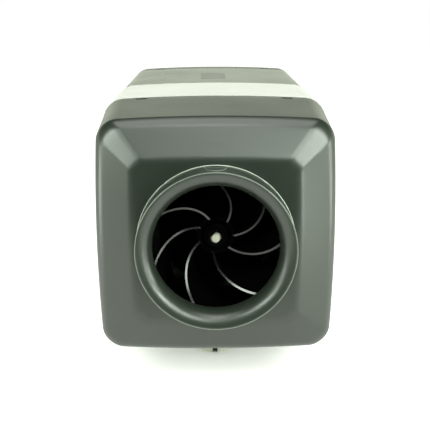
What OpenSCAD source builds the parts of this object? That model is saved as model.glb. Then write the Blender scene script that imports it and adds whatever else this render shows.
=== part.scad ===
// Fuel-burning cabin air heater
// Frame: origin at the centre of the mounting foot's underside, +Z up, air flows from -Y to +Y.

/* [Jacket] */
// Width of the jacket at mid height
jacket_w = 120; // [116:1:130]
// Height of the jacket at mid width
jacket_h = 121; // [118:1:130]
// Length between the front and rear chamfer edges
jacket_len = 261; // [255:1:285]
// Corner radius of the jacket's cross section
corner_r = 10; // [7:0.5:14]
// How far each flat side bows outwards
side_crown = 2; // [1:0.25:3]
// Wall thickness of the moulded shells
shell_wall = 2.2; // [1.8:0.1:2.8]
// Length of the inlet hood's skirt
hood_len = 61; // [54:1:66]
// Length of the outlet hood's skirt
outlet_len = 18; // [14:1:26]
// How much the inlet hood narrows on each side towards its chamfer
hood_draft = 2.8; // [1:0.1:3.2]
// Width of the information band round the top
band_w = 68.6; // [40:0.2:80]
// Thickness of the information band
band_t = 0.25; // [0.2:0.05:0.5]
// How far the band reaches down the sides from the top
band_drop = 34; // [20:1:50]

/* [End chamfers] */
// Distance from the chamfer edge to the flat end face
chamfer_d = 9.6; // [8:0.2:13]
// Width of the chamfer seen from the end
chamfer_w = 18.2; // [16:0.2:20]
// Radius of the soft edge between side and chamfer
edge_r = 8.6; // [5:0.2:12]
// Radius of the soft edge between chamfer and end face
face_r = 6; // [3:0.5:8]

/* [Air duct collars] */
// Outer radius of the duct collars
collar_r = 36.75; // [34:0.25:38]
// Length of a duct collar
collar_len = 15.4; // [13:0.2:18]
// Throat radius inside the rolled lip
throat_r = 29.3; // [28:0.1:30.5]
// Wall thickness of collars and fan shroud
collar_wall = 2; // [1.6:0.1:2.4]

/* [Hot air fan] */
// Number of fan blades
blades = 7; // [5:1:9]
// Blade thickness
blade_t = 1.5; // [1.2:0.1:2]
// Blade tip radius at the leading edge
tip_in_r = 31.2; // [30.5:0.1:31.6]
// Blade tip radius at the trailing edge
tip_out_r = 48; // [42:0.5:49]
// Distance from the chamfer edge back to the fan's trailing edge
fan_depth = 18; // [16:0.5:22]
// Running gap between the blade tips and the shroud
tip_gap = 0.9; // [0.7:0.1:1.5]
// Hub radius at the nose
hub_nose_r = 7; // [6:0.25:8]
// Hub radius at the trailing edge
hub_back_r = 28; // [24:0.5:32]
// Radius of the motor shaft
shaft_r = 2.5; // [2.2:0.05:3]
// Depth of each flat on the shaft's tip
shaft_flat = 0.55; // [0.4:0.05:0.7]
// Radial clearance between fan hub and shaft
hub_fit = 0.02; // [0.01:0.01:0.05]

/* [Motor] */
// Radius of the motor can
motor_r = 26; // [24:0.5:28]
// Length of the motor can
motor_len = 46; // [42:1:50]
// Sheet thickness of the motor can
can_t = 1.5; // [1.2:0.1:2]
// Thickness of the ring magnet
magnet_t = 5; // [4:0.5:6]
// Air gap between magnet and armature
air_gap = 0.8; // [0.6:0.1:1.2]
// Slots in the armature
armature_slots = 8; // [6:1:10]
// Outer radius of the shaft bearings
bearing_r = 6; // [5.5:0.25:7]
// Radial running clearance in the bearings
bearing_fit = 0.04; // [0.02:0.01:0.08]

/* [Combustion blower] */
// Outer radius of the blower housing
blower_r = 45; // [43:0.5:46]
// Length of the blower housing
blower_len = 48; // [44:1:52]
// Wall thickness of the blower housing
blower_wall = 3; // [2.5:0.25:4]
// Radius of the combustion impeller
impeller_r = 34; // [30:0.5:36]
// Vanes on the combustion impeller
impeller_vanes = 14; // [10:1:18]
// Radius of the flange screws
flange_screw_r = 2.5; // [2:0.25:3]

/* [Heat exchanger] */
// Length of the heat exchanger
exchanger_len = 127; // [120:1:130]
// Radius of the heat exchanger's core
core_r = 40; // [38:0.5:41]
// Wall thickness of the core
core_wall = 5; // [4:0.5:6]
// Number of fin positions round the core
fin_count = 32; // [28:4:36]
// Thickness of a fin
fin_t = 2; // [1.6:0.1:2.4]
// Gap between the fin tips and the jacket's outer face
fin_inset = 6.5; // [5:0.5:8]
// Radius of the burner tube
burner_r = 24; // [20:0.5:27]
// Length of the burner tube
burner_len = 78; // [60:1:90]

/* [Foot and pipes] */
// Height of the jacket's underside above the foot's underside
foot_h = 6; // [5:0.5:8]
// Width of the mounting foot
foot_w = 100; // [94:1:104]
// Length of the mounting foot
foot_len = 128; // [122:1:136]
// Distance between the combustion air and exhaust pipes
pipe_pitch = 80; // [78:0.5:84]
// Outer radius of the combustion air and exhaust pipes
pipe_r = 9.5; // [9:0.25:11]
// Wall thickness of the pipes
pipe_wall = 1.5; // [1.2:0.1:2]
// Length of the pipes below the foot
pipe_len = 33.5; // [26:0.5:44]
// Width of the notch in a pipe's end
notch_w = 2.8; // [2:0.1:4]
// Depth of the notch in a pipe's end
notch_h = 3; // [2:0.25:5]
// Distance between the foot studs across the heater
stud_pitch_x = 78; // [74:0.5:84]
// Distance between the foot studs along the heater
stud_pitch_y = 104; // [98:0.5:108]
// Radius of the foot studs
stud_r = 3; // [2.5:0.5:3.5]
// Length of the foot studs below the foot
stud_len = 20; // [14:1:24]
// Outer radius of the fuel pipe
fuel_r = 2.5; // [2:0.25:3]
// Length of the fuel pipe below the foot
fuel_len = 24; // [16:1:30]

/* [Control unit] */
// Width of the control unit
control_w = 64; // [56:1:68]
// Length of the control unit
control_len = 42; // [36:1:44]
// Air gap between the control unit and the jacket above it
control_gap = 2.4; // [1:0.2:5]

/* [Hidden] */
$fn = 64;
eps = 0.01;
seam_gap = 0.3;
lap_gap = 0.5;

// Stations along Y, worked out from the foot outwards
intake_y = -pipe_pitch / 2;
exhaust_y = pipe_pitch / 2;
blower_back_y = intake_y + 13;
blower_front_y = blower_back_y - blower_len;
plate_t = 4;
cover_t = 2.5;
gasket_t = 1.5;
motor_back_y = blower_front_y - plate_t;
motor_front_y = motor_back_y - motor_len;
fan_motor_gap = 3;
fan_back_y = motor_front_y - fan_motor_gap;
front_y = fan_back_y - fan_depth;
face_y = front_y - chamfer_d;
rim_y = face_y - collar_len;
seam_y = front_y + hood_len;
rear_y = front_y + jacket_len;
outlet_seam_y = rear_y - outlet_len;
outlet_rim_y = rear_y + chamfer_d + collar_len;
exchanger_front_y = blower_back_y + cover_t + gasket_t;
exchanger_flange_t = 8;
exchanger_back_y = exchanger_front_y + exchanger_len;

// Heights
axis_z = foot_h + jacket_h / 2;
half_w = jacket_w / 2;
half_h = jacket_h / 2;

// Places on the axis: bar() extrudes a section from y0 to y1, spin() revolves a profile (radius, y)
module bar(y0, y1) {
    translate([0, y1, axis_z]) rotate([90, 0, 0]) linear_extrude(y1 - y0) children();
}
module spin(y0) {
    translate([0, y0, axis_z]) rotate([-90, 0, 0]) rotate_extrude() children();
}
module tube(y0, y1, r_out, r_in) {
    translate([0, y0, axis_z]) rotate([-90, 0, 0]) difference() {
        cylinder(h = y1 - y0, r = r_out);
        translate([0, 0, -eps]) cylinder(h = y1 - y0 + 2 * eps, r = r_in);
    }
}
module rod(y0, y1, r) {
    translate([0, y0, axis_z]) rotate([-90, 0, 0]) cylinder(h = y1 - y0, r = r);
}

// Cross section: a rounded rectangle whose sides bow out by a crown
corner_steps = 6;
side_steps = 6;
function bow(p, a, b, c) = [p[0] + sign(p[0]) * c * (1 - pow(p[1] / b, 2)),
    p[1] + sign(p[1]) * c * (1 - pow(p[0] / a, 2))];
function quadrant_signs(q) = [[1, 1], [-1, 1], [-1, -1], [1, -1]][q % 4];
function corner_point(q, t, a, b, r) = [quadrant_signs(q)[0] * (a - r) + r * cos(90 * (q + t)),
    quadrant_signs(q)[1] * (b - r) + r * sin(90 * (q + t))];
function section(inset, r, c) = let (a = half_w - c - inset, b = half_h - c - inset)
    [for (q = [0:3]) each concat(
        [for (i = [0:corner_steps]) bow(corner_point(q, i / corner_steps, a, b, r), a, b, c)],
        [for (i = [1:side_steps - 1]) bow(corner_point(q, 1, a, b, r) * (1 - i / side_steps)
            + corner_point(q + 1, 0, a, b, r) * i / side_steps, a, b, c)])];
function jacket_section(inset) = section(inset, max(corner_r - inset, 2), side_crown);

// Skirt, soft edge and chamfer of an end hood: [distance in front of the chamfer edge, inset]
lean = atan2(chamfer_w, chamfer_d);
edge_tangent = edge_r * tan(lean / 2);
face_tangent = face_r * tan((90 - lean) / 2);
edge_arc_steps = 6;
face_arc_steps = 3;
function edge_arc() = [for (i = [0:edge_arc_steps]) let (al = lean * i / edge_arc_steps)
    [edge_r * sin(al) - edge_tangent, edge_r * (1 - cos(al))]];
function face_arc() = [for (i = [0:face_arc_steps]) let (al = lean + (90 - lean) * i / face_arc_steps)
    [chamfer_d - face_r * (1 - sin(al)), chamfer_w + face_tangent - face_r * cos(al)]];
function draft_at(d, skirt, draft) = draft * min(1, max(0, (skirt + d) / (skirt - edge_tangent)));
function hood_profile(skirt, draft) = [for (p = concat([[-skirt, 0]], edge_arc(), face_arc()))
    [p[0], p[1] + draft_at(p[0], skirt, draft)]];

// One ring of a hood: corners tighten and the crown fades towards the end face
face_corner_r = 4.5;
function ring(d, inset, wall) = let (f = min(1, max(0, inset / (chamfer_w + hood_draft))))
    [for (p = section(inset + wall, max(corner_r * (1 - f) + face_corner_r * f - wall, 1.5),
        side_crown * (1 - 0.6 * f))) [p[0], -d, p[1]]];

// Closed solid through rings of equally many points, each ring anticlockwise seen from the last one
// Closed ends are flat faces, or strips of triangles across a thin ring such as a blade's
module loft(rings, thin = false) {
    n = len(rings[0]);
    m = len(rings);
    last = (m - 1) * n;
    first_cap = thin
        ? [for (i = [0:n / 2 - 2]) each [[i, n - 1 - i, n - 2 - i], [i, n - 2 - i, i + 1]]]
        : [[for (i = [0:n - 1]) n - 1 - i]];
    last_cap = thin
        ? [for (f = first_cap) [last + f[2], last + f[1], last + f[0]]]
        : [[for (i = [0:n - 1]) last + i]];
    sides = [for (k = [0:m - 2], i = [0:n - 1], h = [0, 1]) let (j = (i + 1) % n)
        h == 0 ? [k * n + i, k * n + j, (k + 1) * n + j]
            : [k * n + i, (k + 1) * n + j, (k + 1) * n + i]];
    polyhedron(points = [for (g = rings) each g], faces = concat(first_cap, sides, last_cap),
        convexity = 6);
}

// Hood block that looks towards -Y with its chamfer edge at y = 0, grown inwards by wall
module hood_block(skirt, draft, wall) {
    prof = hood_profile(skirt, draft);
    last = len(prof) - 1;
    rings = [for (i = [last:-1:0])
        ring(i == 0 && wall > 0 ? -skirt - 1 : prof[i][0] - wall, prof[i][1], wall)];
    translate([0, 0, axis_z]) loft(rings);
}

// Duct collar with a rolled lip, as a profile (radius, distance behind the rim)
lip_r = collar_r - throat_r;
collar_root = 0.6;
collar_cut_r = collar_r - collar_wall / 2;
module lip_profile() {
    intersection() {
        difference() {
            translate([collar_r, lip_r]) circle(r = lip_r);
            translate([collar_r, lip_r]) circle(r = lip_r - collar_wall);
        }
        square([collar_r, lip_r]);
    }
    translate([collar_r - collar_wall, 1])
        square([collar_wall, collar_len + shell_wall + collar_root - 1]);
}

// Fan shroud: radius at a distance s behind the throat's end
throat_end = lip_r + 2.6;
throat_end_y = rim_y + throat_end;
shroud_len = fan_back_y - throat_end_y;
shroud_in_r = tip_in_r + tip_gap;
shroud_out_r = tip_out_r + tip_gap;
shroud_steps = 8;
function shroud_curve(f) = shroud_in_r + (shroud_out_r - shroud_in_r) * pow(f, 1.25);
module shroud_profile() {
    inner = [for (i = [0:shroud_steps]) let (f = i / shroud_steps)
        [shroud_curve(f), throat_end + shroud_len * f]];
    outer = [for (i = [shroud_steps:-1:0]) let (f = i / shroud_steps)
        [shroud_curve(f) + collar_wall, throat_end + shroud_len * f]];
    translate([throat_r, lip_r]) square([collar_wall, throat_end - lip_r]);
    translate([throat_r, throat_end - collar_wall])
        square([shroud_in_r + collar_wall - throat_r, collar_wall]);
    polygon(concat(inner, outer));
}

// Latch slots near the corners of a hood's edge, at the top and the bottom
latch_x = 38;
latch_w = 6;
latch_l = 3;
latch_back = 3.6;
inlet_latch_y = seam_y - latch_back;
outlet_latch_y = outlet_seam_y + latch_back;
module at_latches(y, sz) {
    for (sx = [-1, 1]) translate([sx * latch_x, y, axis_z + sz * half_h]) children();
}
module latch_slots(y) {
    for (sz = [-1, 1]) at_latches(y, sz) translate([-latch_w / 2, -latch_l / 2, -6])
        cube([latch_w, latch_l, 12]);
}

// Marks on top of the inlet hood: a stepped pocket on the chamfer and a round-ended one on the collar
mark_depth = 0.5;
pocket_w = 12.2;
pocket_len = 6.2;
collar_mark_w = 8.4;
collar_mark_len = 11.5;
module chamfer_pocket() {
    translate([0, -chamfer_d, axis_z + half_h - hood_draft - chamfer_w]) rotate([lean - 90, 0, 0]) {
        translate([-pocket_w / 2, -2, 1.4]) cube([pocket_w, 2 + mark_depth / 2, pocket_len]);
        translate([-collar_mark_w / 2, -2, 2]) cube([collar_mark_w, 2 + mark_depth, pocket_len - 1.2]);
    }
}
module collar_mark() {
    round_r = collar_mark_w / 2;
    translate([0, face_y - collar_mark_len + round_r, axis_z + collar_r - mark_depth]) {
        cylinder(h = 3, r = round_r);
        translate([-round_r, 0, 0]) cube([collar_mark_w, collar_mark_len - round_r, 3]);
    }
}

module inlet_hood() {
    color([0.30, 0.32, 0.30]) {
        difference() {
            translate([0, front_y, 0]) difference() {
                hood_block(hood_len, hood_draft, 0);
                hood_block(hood_len, hood_draft, shell_wall);
                chamfer_pocket();
            }
            rod(face_y - 1, front_y, collar_cut_r);
            latch_slots(inlet_latch_y);
        }
        difference() {
            spin(rim_y) {
                lip_profile();
                shroud_profile();
            }
            collar_mark();
        }
    }
}

module outlet_hood() {
    color([0.34, 0.36, 0.34]) {
        difference() {
            translate([0, rear_y, 0]) mirror([0, 1, 0]) difference() {
                hood_block(outlet_len, 0, 0);
                hood_block(outlet_len, 0, shell_wall);
            }
            rod(rear_y, outlet_rim_y, collar_cut_r);
            latch_slots(outlet_latch_y);
        }
        tube(rear_y + chamfer_d - shell_wall - collar_root, outlet_rim_y,
            collar_r, collar_r - collar_wall);
    }
}

// Jacket shells: constant section, with a tongue at each end that slips inside the hood
tongue_len = 7;
tongue_t = 1.4;
tongue_inset = shell_wall + lap_gap;
module jacket_tube() {
    difference() {
        union() {
            bar(seam_y + seam_gap, outlet_seam_y - seam_gap) polygon(jacket_section(0));
            bar(seam_y - tongue_len, outlet_seam_y + tongue_len) polygon(jacket_section(tongue_inset));
        }
        bar(seam_y - tongue_len - 1, outlet_seam_y + tongue_len + 1)
            polygon(jacket_section(tongue_inset + tongue_t));
    }
}

// Catches on the tongues, each standing in a latch slot just below the hood's outer face
catch_gap = 0.5;
catch_w = latch_w - 2 * catch_gap;
catch_l = latch_l - 2 * catch_gap;
catch_fall = side_crown * pow(latch_x / (half_w - side_crown), 2);
catch_top = catch_fall + hood_draft * latch_back / hood_len + catch_gap;
catch_foot = tongue_inset + catch_fall + 0.6 * tongue_t;
module catches(sz) {
    for (y = [inlet_latch_y, outlet_latch_y]) at_latches(y, sz) mirror([0, 0, sz > 0 ? 0 : 1])
        translate([-catch_w / 2, -catch_l / 2, -catch_foot]) cube([catch_w, catch_l, catch_foot - catch_top]);
}
module half_space(top) {
    translate([-jacket_w, rim_y, top ? axis_z + seam_gap / 2 : -jacket_h])
        cube([2 * jacket_w, outlet_rim_y - rim_y, top ? jacket_h : jacket_h + axis_z - seam_gap / 2]);
}

// Fine grip ribs across the rear of the jacket's top
rib_w = 16;
rib_t = 1.1;
rib_h = 0.15;
rib_pitch = 14.8;
rib_first = 33;
module grip_ribs() {
    for (i = [0:2]) translate([-rib_w / 2, seam_y + band_w + rib_first + rib_pitch * i,
        axis_z + half_h - 1]) cube([rib_w, rib_t, 1 + rib_h]);
}

// Opening in the jacket's underside for the foot's pedestal and the pipes
pedestal_w = 60;
pedestal_front = exchanger_front_y + exchanger_flange_t + 0.5;
pedestal_back = exhaust_y + pipe_r + 7;
pedestal_gap = 3;
module belly_opening() {
    y0 = intake_y - pipe_r - pedestal_gap;
    translate([-pedestal_w / 2 - pedestal_gap, y0, 0])
        cube([pedestal_w + 2 * pedestal_gap, pedestal_back + pedestal_gap - y0, foot_h + 12]);
}

// Cable opening in the jacket's left side
grommet_r = 8;
grommet_back = 24;
grommet_y = seam_y + grommet_back;
grommet_z = axis_z - 26;
module at_grommet() {
    translate([-half_w, grommet_y, grommet_z]) rotate([0, 90, 0]) children();
}

module upper_jacket() {
    color([0.62, 0.65, 0.60]) {
        intersection() {
            jacket_tube();
            half_space(true);
        }
        catches(1);
        grip_ribs();
    }
}

module lower_jacket() {
    color([0.60, 0.63, 0.58]) difference() {
        union() {
            intersection() {
                jacket_tube();
                half_space(false);
            }
            catches(-1);
        }
        belly_opening();
        at_grommet() translate([0, 0, -2]) cylinder(h = 10, r = grommet_r);
    }
}

module info_band() {
    color([0.97, 0.97, 0.96]) intersection() {
        difference() {
            bar(seam_y + seam_gap, seam_y + band_w) polygon(jacket_section(-band_t));
            bar(seam_y, seam_y + band_w + 1) polygon(jacket_section(0));
        }
        translate([-jacket_w, seam_y, axis_z + half_h - band_drop])
            cube([2 * jacket_w, band_w + 1, band_drop + 1]);
    }
}

// Fan: blade surface worked out from span s (0 hub, 1 tip) and chord c (0 front, 1 back)
shaft_tip_y = front_y - 1;
shaft_tip = 2.2;
retainer_r = 4;
retainer_t = 1.4;
nose_y = shaft_tip_y + shaft_tip + retainer_t;
cone_len = fan_back_y - nose_y;
root_sink = 1.2;
lead_set = 5.8;
lead_bow = 0.0163;
function lead_y(rho) = front_y + lead_set - lead_bow * rho * rho;
spiral_start = -61.8;
spiral_rate = 1.383;
spiral_growth = 0.016;
function spiral(rho) = spiral_start + spiral_rate * rho + spiral_growth * rho * rho;
sweep_back = 0.8;
blade_spans = 7;
blade_chords = 5;
function shroud_at(y) = shroud_curve(max(0, min(1, (y - throat_end_y) / shroud_len)));
function hub_curve(f) = hub_nose_r + (hub_back_r - hub_nose_r) * pow(f, 1.3);
blade_back_y = fan_back_y - 0.4;
function chord_y(front, c) = front + (blade_back_y - front) * c;
// The leading edge starts inside the hub and ends a running gap short of the shroud
root_rho = hub_curve((lead_y(hub_nose_r) - nose_y) / cone_len) - root_sink;
function lead_end(rho, tries) = tries == 0 ? rho : lead_end(shroud_at(lead_y(rho)) - tip_gap, tries - 1);
lead_tip_r = lead_end(tip_in_r, 4);
function blade_mid(s, c) = let (
    hub_y = chord_y(lead_y(root_rho), c),
    tip_y = chord_y(lead_y(lead_tip_r), c),
    hub_rho = hub_curve((hub_y - nose_y) / cone_len) - root_sink,
    tip_rho = shroud_at(tip_y) - tip_gap,
    rho = hub_rho + (tip_rho - hub_rho) * s,
    y = chord_y(lead_y(root_rho + (lead_tip_r - root_rho) * s), c))
    [rho, y, spiral(rho) + sweep_back * (y - lead_y(rho))];
function blade_point(s, c, side) = let (
    m = blade_mid(s, c),
    slope = m[0] * (spiral_rate + 2 * spiral_growth * m[0]) * PI / 180,
    half_deg = blade_t / 2 * sqrt(1 + slope * slope) / m[0] * 180 / PI,
    a = m[2] + side * half_deg)
    [m[0] * cos(a), m[1], m[0] * sin(a)];
module blade() {
    nc = blade_chords + 1;
    rings = [for (i = [0:blade_spans]) concat(
        [for (k = [0:blade_chords]) blade_point(i / blade_spans, k / blade_chords, 1)],
        [for (k = [blade_chords:-1:0]) blade_point(i / blade_spans, k / blade_chords, -1)])];
    loft(rings, thin = true);
}
module double_d(r, flat) {
    intersection() {
        circle(r = r);
        rotate(45) square([4 * r, 2 * (r - flat)], center = true);
    }
}
// Blades stand a little off even spacing, in degrees, so that the wheel has no single tone
blade_offsets = [4.5, 2, -4, -1, 6.5, -4, -4, 2, -2];
hub_wall = 2.4;
hub_len = 15;
hub_steps = 8;
module hot_air_fan() {
    shell = [for (i = [0:hub_steps]) let (f = i / hub_steps) [hub_curve(f), nose_y + cone_len * f]];
    under = [for (i = [hub_steps:-1:1]) let (f = i / hub_steps)
        [hub_curve(f) - hub_wall, nose_y + 2 * hub_wall * (1 - f) + cone_len * f]];
    color([0.05, 0.05, 0.05]) difference() {
        union() {
            spin(0) polygon(concat([[0, nose_y]], shell, under, [[0, under[hub_steps - 1][1]]]));
            rod(nose_y, nose_y + hub_len, hub_nose_r - 0.6);
            translate([0, 0, axis_z]) for (k = [0:blades - 1])
                rotate([0, 360 / blades * k - blade_offsets[k], 0]) blade();
        }
        bar(nose_y - 4, fan_back_y + 1) double_d(shaft_r + hub_fit, shaft_flat);
    }
}
// Push-on ring that holds the fan on the shaft's tip
module fan_retainer() {
    color([0.10, 0.10, 0.10]) difference() {
        rod(nose_y - retainer_t, nose_y, retainer_r);
        bar(nose_y - 4, nose_y + 1) double_d(shaft_r + hub_fit, shaft_flat);
    }
}

impeller_gap = 2.5;
impeller_front_y = blower_front_y + blower_wall + impeller_gap;
impeller_len = 13;
tip_edge = 0.6;
module motor_shaft() {
    color([0.80, 0.81, 0.78]) {
        intersection() {
            bar(shaft_tip_y - 1, fan_back_y) double_d(shaft_r, shaft_flat);
            spin(shaft_tip_y) polygon([[0, 0], [shaft_r - tip_edge, 0], [shaft_r + 1, tip_edge + 1],
                [shaft_r + 1, fan_back_y - shaft_tip_y + 1], [0, fan_back_y - shaft_tip_y + 1]]);
        }
        rod(fan_back_y, impeller_front_y + impeller_len, shaft_r);
    }
}

// Motor inside its can
bearing_len = 7;
magnet_out_r = motor_r - can_t;
armature_r = magnet_out_r - magnet_t - air_gap;
armature_front_y = motor_front_y + can_t + bearing_len + 5;
armature_back_y = motor_back_y - 9;
tooth_depth = 8;
slot_r = 2.6;
slot_mouth = 1.8;
module motor_armature() {
    color([0.45, 0.45, 0.47]) bar(armature_front_y, armature_back_y) difference() {
        circle(r = armature_r);
        circle(r = shaft_r);
        for (k = [0:armature_slots - 1]) rotate(360 / armature_slots * k) {
            translate([armature_r - tooth_depth, 0]) circle(r = slot_r);
            translate([armature_r - tooth_depth, -slot_mouth / 2]) square([tooth_depth + 1, slot_mouth]);
        }
    }
}
winding_len = 3.5;
module motor_windings() {
    color([0.72, 0.42, 0.22]) {
        tube(armature_front_y - winding_len, armature_front_y, armature_r - 2, armature_r - tooth_depth - 2);
        tube(armature_back_y, armature_back_y + winding_len, armature_r - 2, armature_r - tooth_depth - 2);
    }
}
module motor_can() {
    color([0.66, 0.66, 0.64]) {
        tube(motor_front_y, motor_back_y, motor_r, motor_r - can_t);
        tube(motor_front_y, motor_front_y + can_t, motor_r - can_t, bearing_r);
        tube(motor_front_y + can_t, motor_front_y + can_t + bearing_len - 1, bearing_r + can_t, bearing_r);
    }
}
module magnet_ring() {
    color([0.16, 0.16, 0.17])
        tube(armature_front_y - 2, armature_back_y + 2, magnet_out_r, magnet_out_r - magnet_t);
}
module shaft_bearing(y0) {
    color([0.55, 0.45, 0.28]) tube(y0, y0 + bearing_len, bearing_r, shaft_r + bearing_fit);
}
module front_bearing() {
    shaft_bearing(motor_front_y);
}
module rear_bearing() {
    shaft_bearing(blower_front_y - bearing_len);
}

// End plate between the motor and the blower, held by three screws
plate_screw_r = 1.5;
plate_screw_place = motor_r + 4;
module at_plate_screws(y) {
    for (k = [0:2]) translate([0, y, axis_z]) rotate([0, 90 + 120 * k, 0])
        translate([plate_screw_place, 0, 0]) rotate([-90, 0, 0]) children();
}
module motor_plate() {
    color([0.58, 0.59, 0.58]) difference() {
        union() {
            rod(motor_back_y, blower_front_y, plate_screw_place + 4);
            rod(motor_back_y - bearing_len + plate_t, motor_back_y, bearing_r + 2);
        }
        rod(motor_back_y - bearing_len, blower_front_y + 1, bearing_r);
        at_plate_screws(motor_back_y - 1) cylinder(h = plate_t + 2, r = plate_screw_r);
    }
}
plate_screw_bite = 2.6;
module motor_screws() {
    head = 2;
    color([0.70, 0.70, 0.68]) at_plate_screws(motor_back_y - head) {
        cylinder(h = head, r = 2 * plate_screw_r);
        cylinder(h = head + plate_t + plate_screw_bite, r = plate_screw_r);
    }
}

// Flange screws clamp blower housing, cover, gasket and heat exchanger together
flange_r = blower_r;
screw_head_r = 1.7 * flange_screw_r;
ear_place = flange_r + screw_head_r + 0.5;
ear_r = 6;
ear_len = 12;
module at_flange_screws(y) {
    for (k = [0:3]) translate([0, y, axis_z]) rotate([0, 45 + 90 * k, 0])
        translate([ear_place, 0, 0]) rotate([-90, 0, 0]) children();
}
module flange_outline() {
    circle(r = flange_r);
    for (k = [0:3]) rotate(45 + 90 * k) translate([ear_place, 0]) circle(r = ear_r);
}
module flange_plate(y0, t, hole) {
    difference() {
        bar(y0, y0 + t) flange_outline();
        at_flange_screws(y0 - 1) cylinder(h = t + 2, r = hole);
    }
}
screw_hole_r = flange_screw_r + 0.25;
module flange_screws() {
    head = 4;
    reach = ear_len + cover_t + gasket_t + exchanger_flange_t - 1;
    color([0.70, 0.70, 0.68]) at_flange_screws(blower_back_y - ear_len - head) difference() {
        union() {
            cylinder(h = head, r = screw_head_r);
            cylinder(h = head + reach, r = flange_screw_r);
        }
        translate([0, 0, -1]) cylinder(h = 3, r = flange_screw_r, $fn = 6);
    }
}

// Combustion blower: cup-shaped housing, pipe port in its underside
pipe_bore = pipe_r - pipe_wall;
spigot_r = pipe_r + 0.5;
fuel_spigot_r = fuel_r + 0.4;
stud_seat_r = stud_r + 0.5;
port_len = 6;
module blower_housing() {
    wall_r = blower_r - blower_wall;
    color([0.62, 0.63, 0.62]) difference() {
        union() {
            rod(blower_front_y, blower_back_y - ear_len, blower_r);
            bar(blower_back_y - ear_len, blower_back_y) flange_outline();
            translate([0, intake_y, axis_z - blower_r - port_len])
                cylinder(h = blower_r / 2, r = spigot_r + 1.5);
        }
        rod(blower_front_y + blower_wall, blower_back_y + 1, wall_r);
        rod(blower_front_y - 1, blower_back_y, shaft_r + 1);
        at_flange_screws(blower_back_y - ear_len - 1) cylinder(h = ear_len + 2, r = screw_hole_r);
        at_plate_screws(blower_front_y - 1) cylinder(h = plate_screw_bite + 1, r = plate_screw_r);
        translate([0, intake_y, axis_z - blower_r - port_len - 1]) cylinder(h = blower_r, r = pipe_bore);
        translate([0, intake_y, axis_z - blower_r - port_len - 1]) cylinder(h = port_len + 1, r = spigot_r);
    }
}
module combustion_impeller() {
    disc_t = 2;
    vane_t = 1.4;
    vane_bend_r = 26;
    hub_r = 8;
    color([0.70, 0.71, 0.70]) {
        tube(impeller_front_y, impeller_front_y + disc_t, impeller_r, shaft_r);
        tube(impeller_front_y + disc_t, impeller_front_y + impeller_len, hub_r, shaft_r);
        bar(impeller_front_y + disc_t, impeller_front_y + impeller_len) intersection() {
            difference() {
                circle(r = impeller_r);
                circle(r = 14);
            }
            for (k = [0:impeller_vanes - 1]) rotate(360 / impeller_vanes * k)
                translate([14, -vane_bend_r]) difference() {
                    circle(r = vane_bend_r + vane_t / 2);
                    circle(r = vane_bend_r - vane_t / 2);
                    translate([-2 * vane_bend_r, -2 * vane_bend_r])
                        square([4 * vane_bend_r, 2 * vane_bend_r]);
                    translate([-2 * vane_bend_r, 0]) square([2 * vane_bend_r, 2 * vane_bend_r]);
                }
        }
    }
}
burner_port_r = 14;
module blower_cover() {
    color([0.60, 0.61, 0.60]) difference() {
        flange_plate(blower_back_y, cover_t, screw_hole_r);
        rod(blower_back_y - 1, blower_back_y + cover_t + 1, burner_port_r);
    }
}
module blower_gasket() {
    color([0.25, 0.24, 0.22]) difference() {
        flange_plate(blower_back_y + cover_t, gasket_t, screw_hole_r);
        rod(blower_back_y, exchanger_front_y + 1, core_r - core_wall);
    }
}

// Burner inside the heat exchanger
burner_wall = 1.2;
burner_flange_t = 2;
module burner_tube() {
    color([0.55, 0.50, 0.45]) {
        tube(exchanger_front_y, exchanger_front_y + burner_flange_t, core_r - core_wall, burner_port_r);
        tube(exchanger_front_y + burner_flange_t, exchanger_front_y + burner_len,
            burner_r, burner_r - burner_wall);
    }
}
wick_t = 4;
module evaporator_wick() {
    color([0.66, 0.62, 0.55]) tube(exchanger_front_y + burner_flange_t,
        exchanger_front_y + burner_flange_t + wick_t, burner_r - burner_wall, burner_port_r);
}

// Glow plug, screwed into the heat exchanger's neck from above
plug_r = 4;
plug_hex_r = 6.4;
plug_y = exchanger_front_y + exchanger_flange_t + plug_hex_r + 1;
neck_len = plug_y - exchanger_front_y + plug_hex_r + 3;
module glow_plug() {
    hex_h = 5;
    tip_z = axis_z + burner_r + 1.5;
    color([0.74, 0.74, 0.72]) translate([0, plug_y, 0]) {
        translate([0, 0, tip_z]) cylinder(h = axis_z + core_r - tip_z, r = plug_r);
        translate([0, 0, axis_z + core_r]) cylinder(h = hex_h, r = plug_hex_r, $fn = 6);
        translate([0, 0, axis_z + core_r + hex_h]) cylinder(h = 6, r = 2.5);
    }
}

// Heat exchanger: closed cast core with long fins inside a jacket-shaped envelope
fin_front_y = exchanger_front_y + neck_len;
fin_step = 360 / fin_count;
function over_pedestal(a) = sin(a) < 0 && abs(cos(a)) * core_r < pedestal_w / 2 + fin_t;
function over_sensor(a) = abs(a - 90) < fin_step / 2;
module heat_exchanger() {
    color([0.64, 0.65, 0.64]) difference() {
        union() {
            flange_plate(exchanger_front_y, exchanger_flange_t, flange_screw_r);
            rod(exchanger_front_y, exchanger_back_y, core_r);
            bar(fin_front_y, exchanger_back_y - 3) intersection() {
                for (k = [0:fin_count - 1]) let (a = fin_step * k)
                    if (!over_pedestal(a) && !over_sensor(a)) rotate(a)
                        translate([core_r - 2, -fin_t / 2]) square([jacket_w, fin_t]);
                polygon(section(fin_inset, corner_r, side_crown));
            }
        }
        rod(exchanger_front_y - 1, exchanger_back_y - core_wall, core_r - core_wall);
        translate([0, plug_y, axis_z]) cylinder(h = jacket_h / 2, r = plug_r);
        translate([0, exhaust_y, foot_h]) cylinder(h = axis_z - foot_h, r = spigot_r);
        at_fuel_pipe() cylinder(h = axis_z - foot_h, r = fuel_spigot_r);
    }
}

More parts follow.
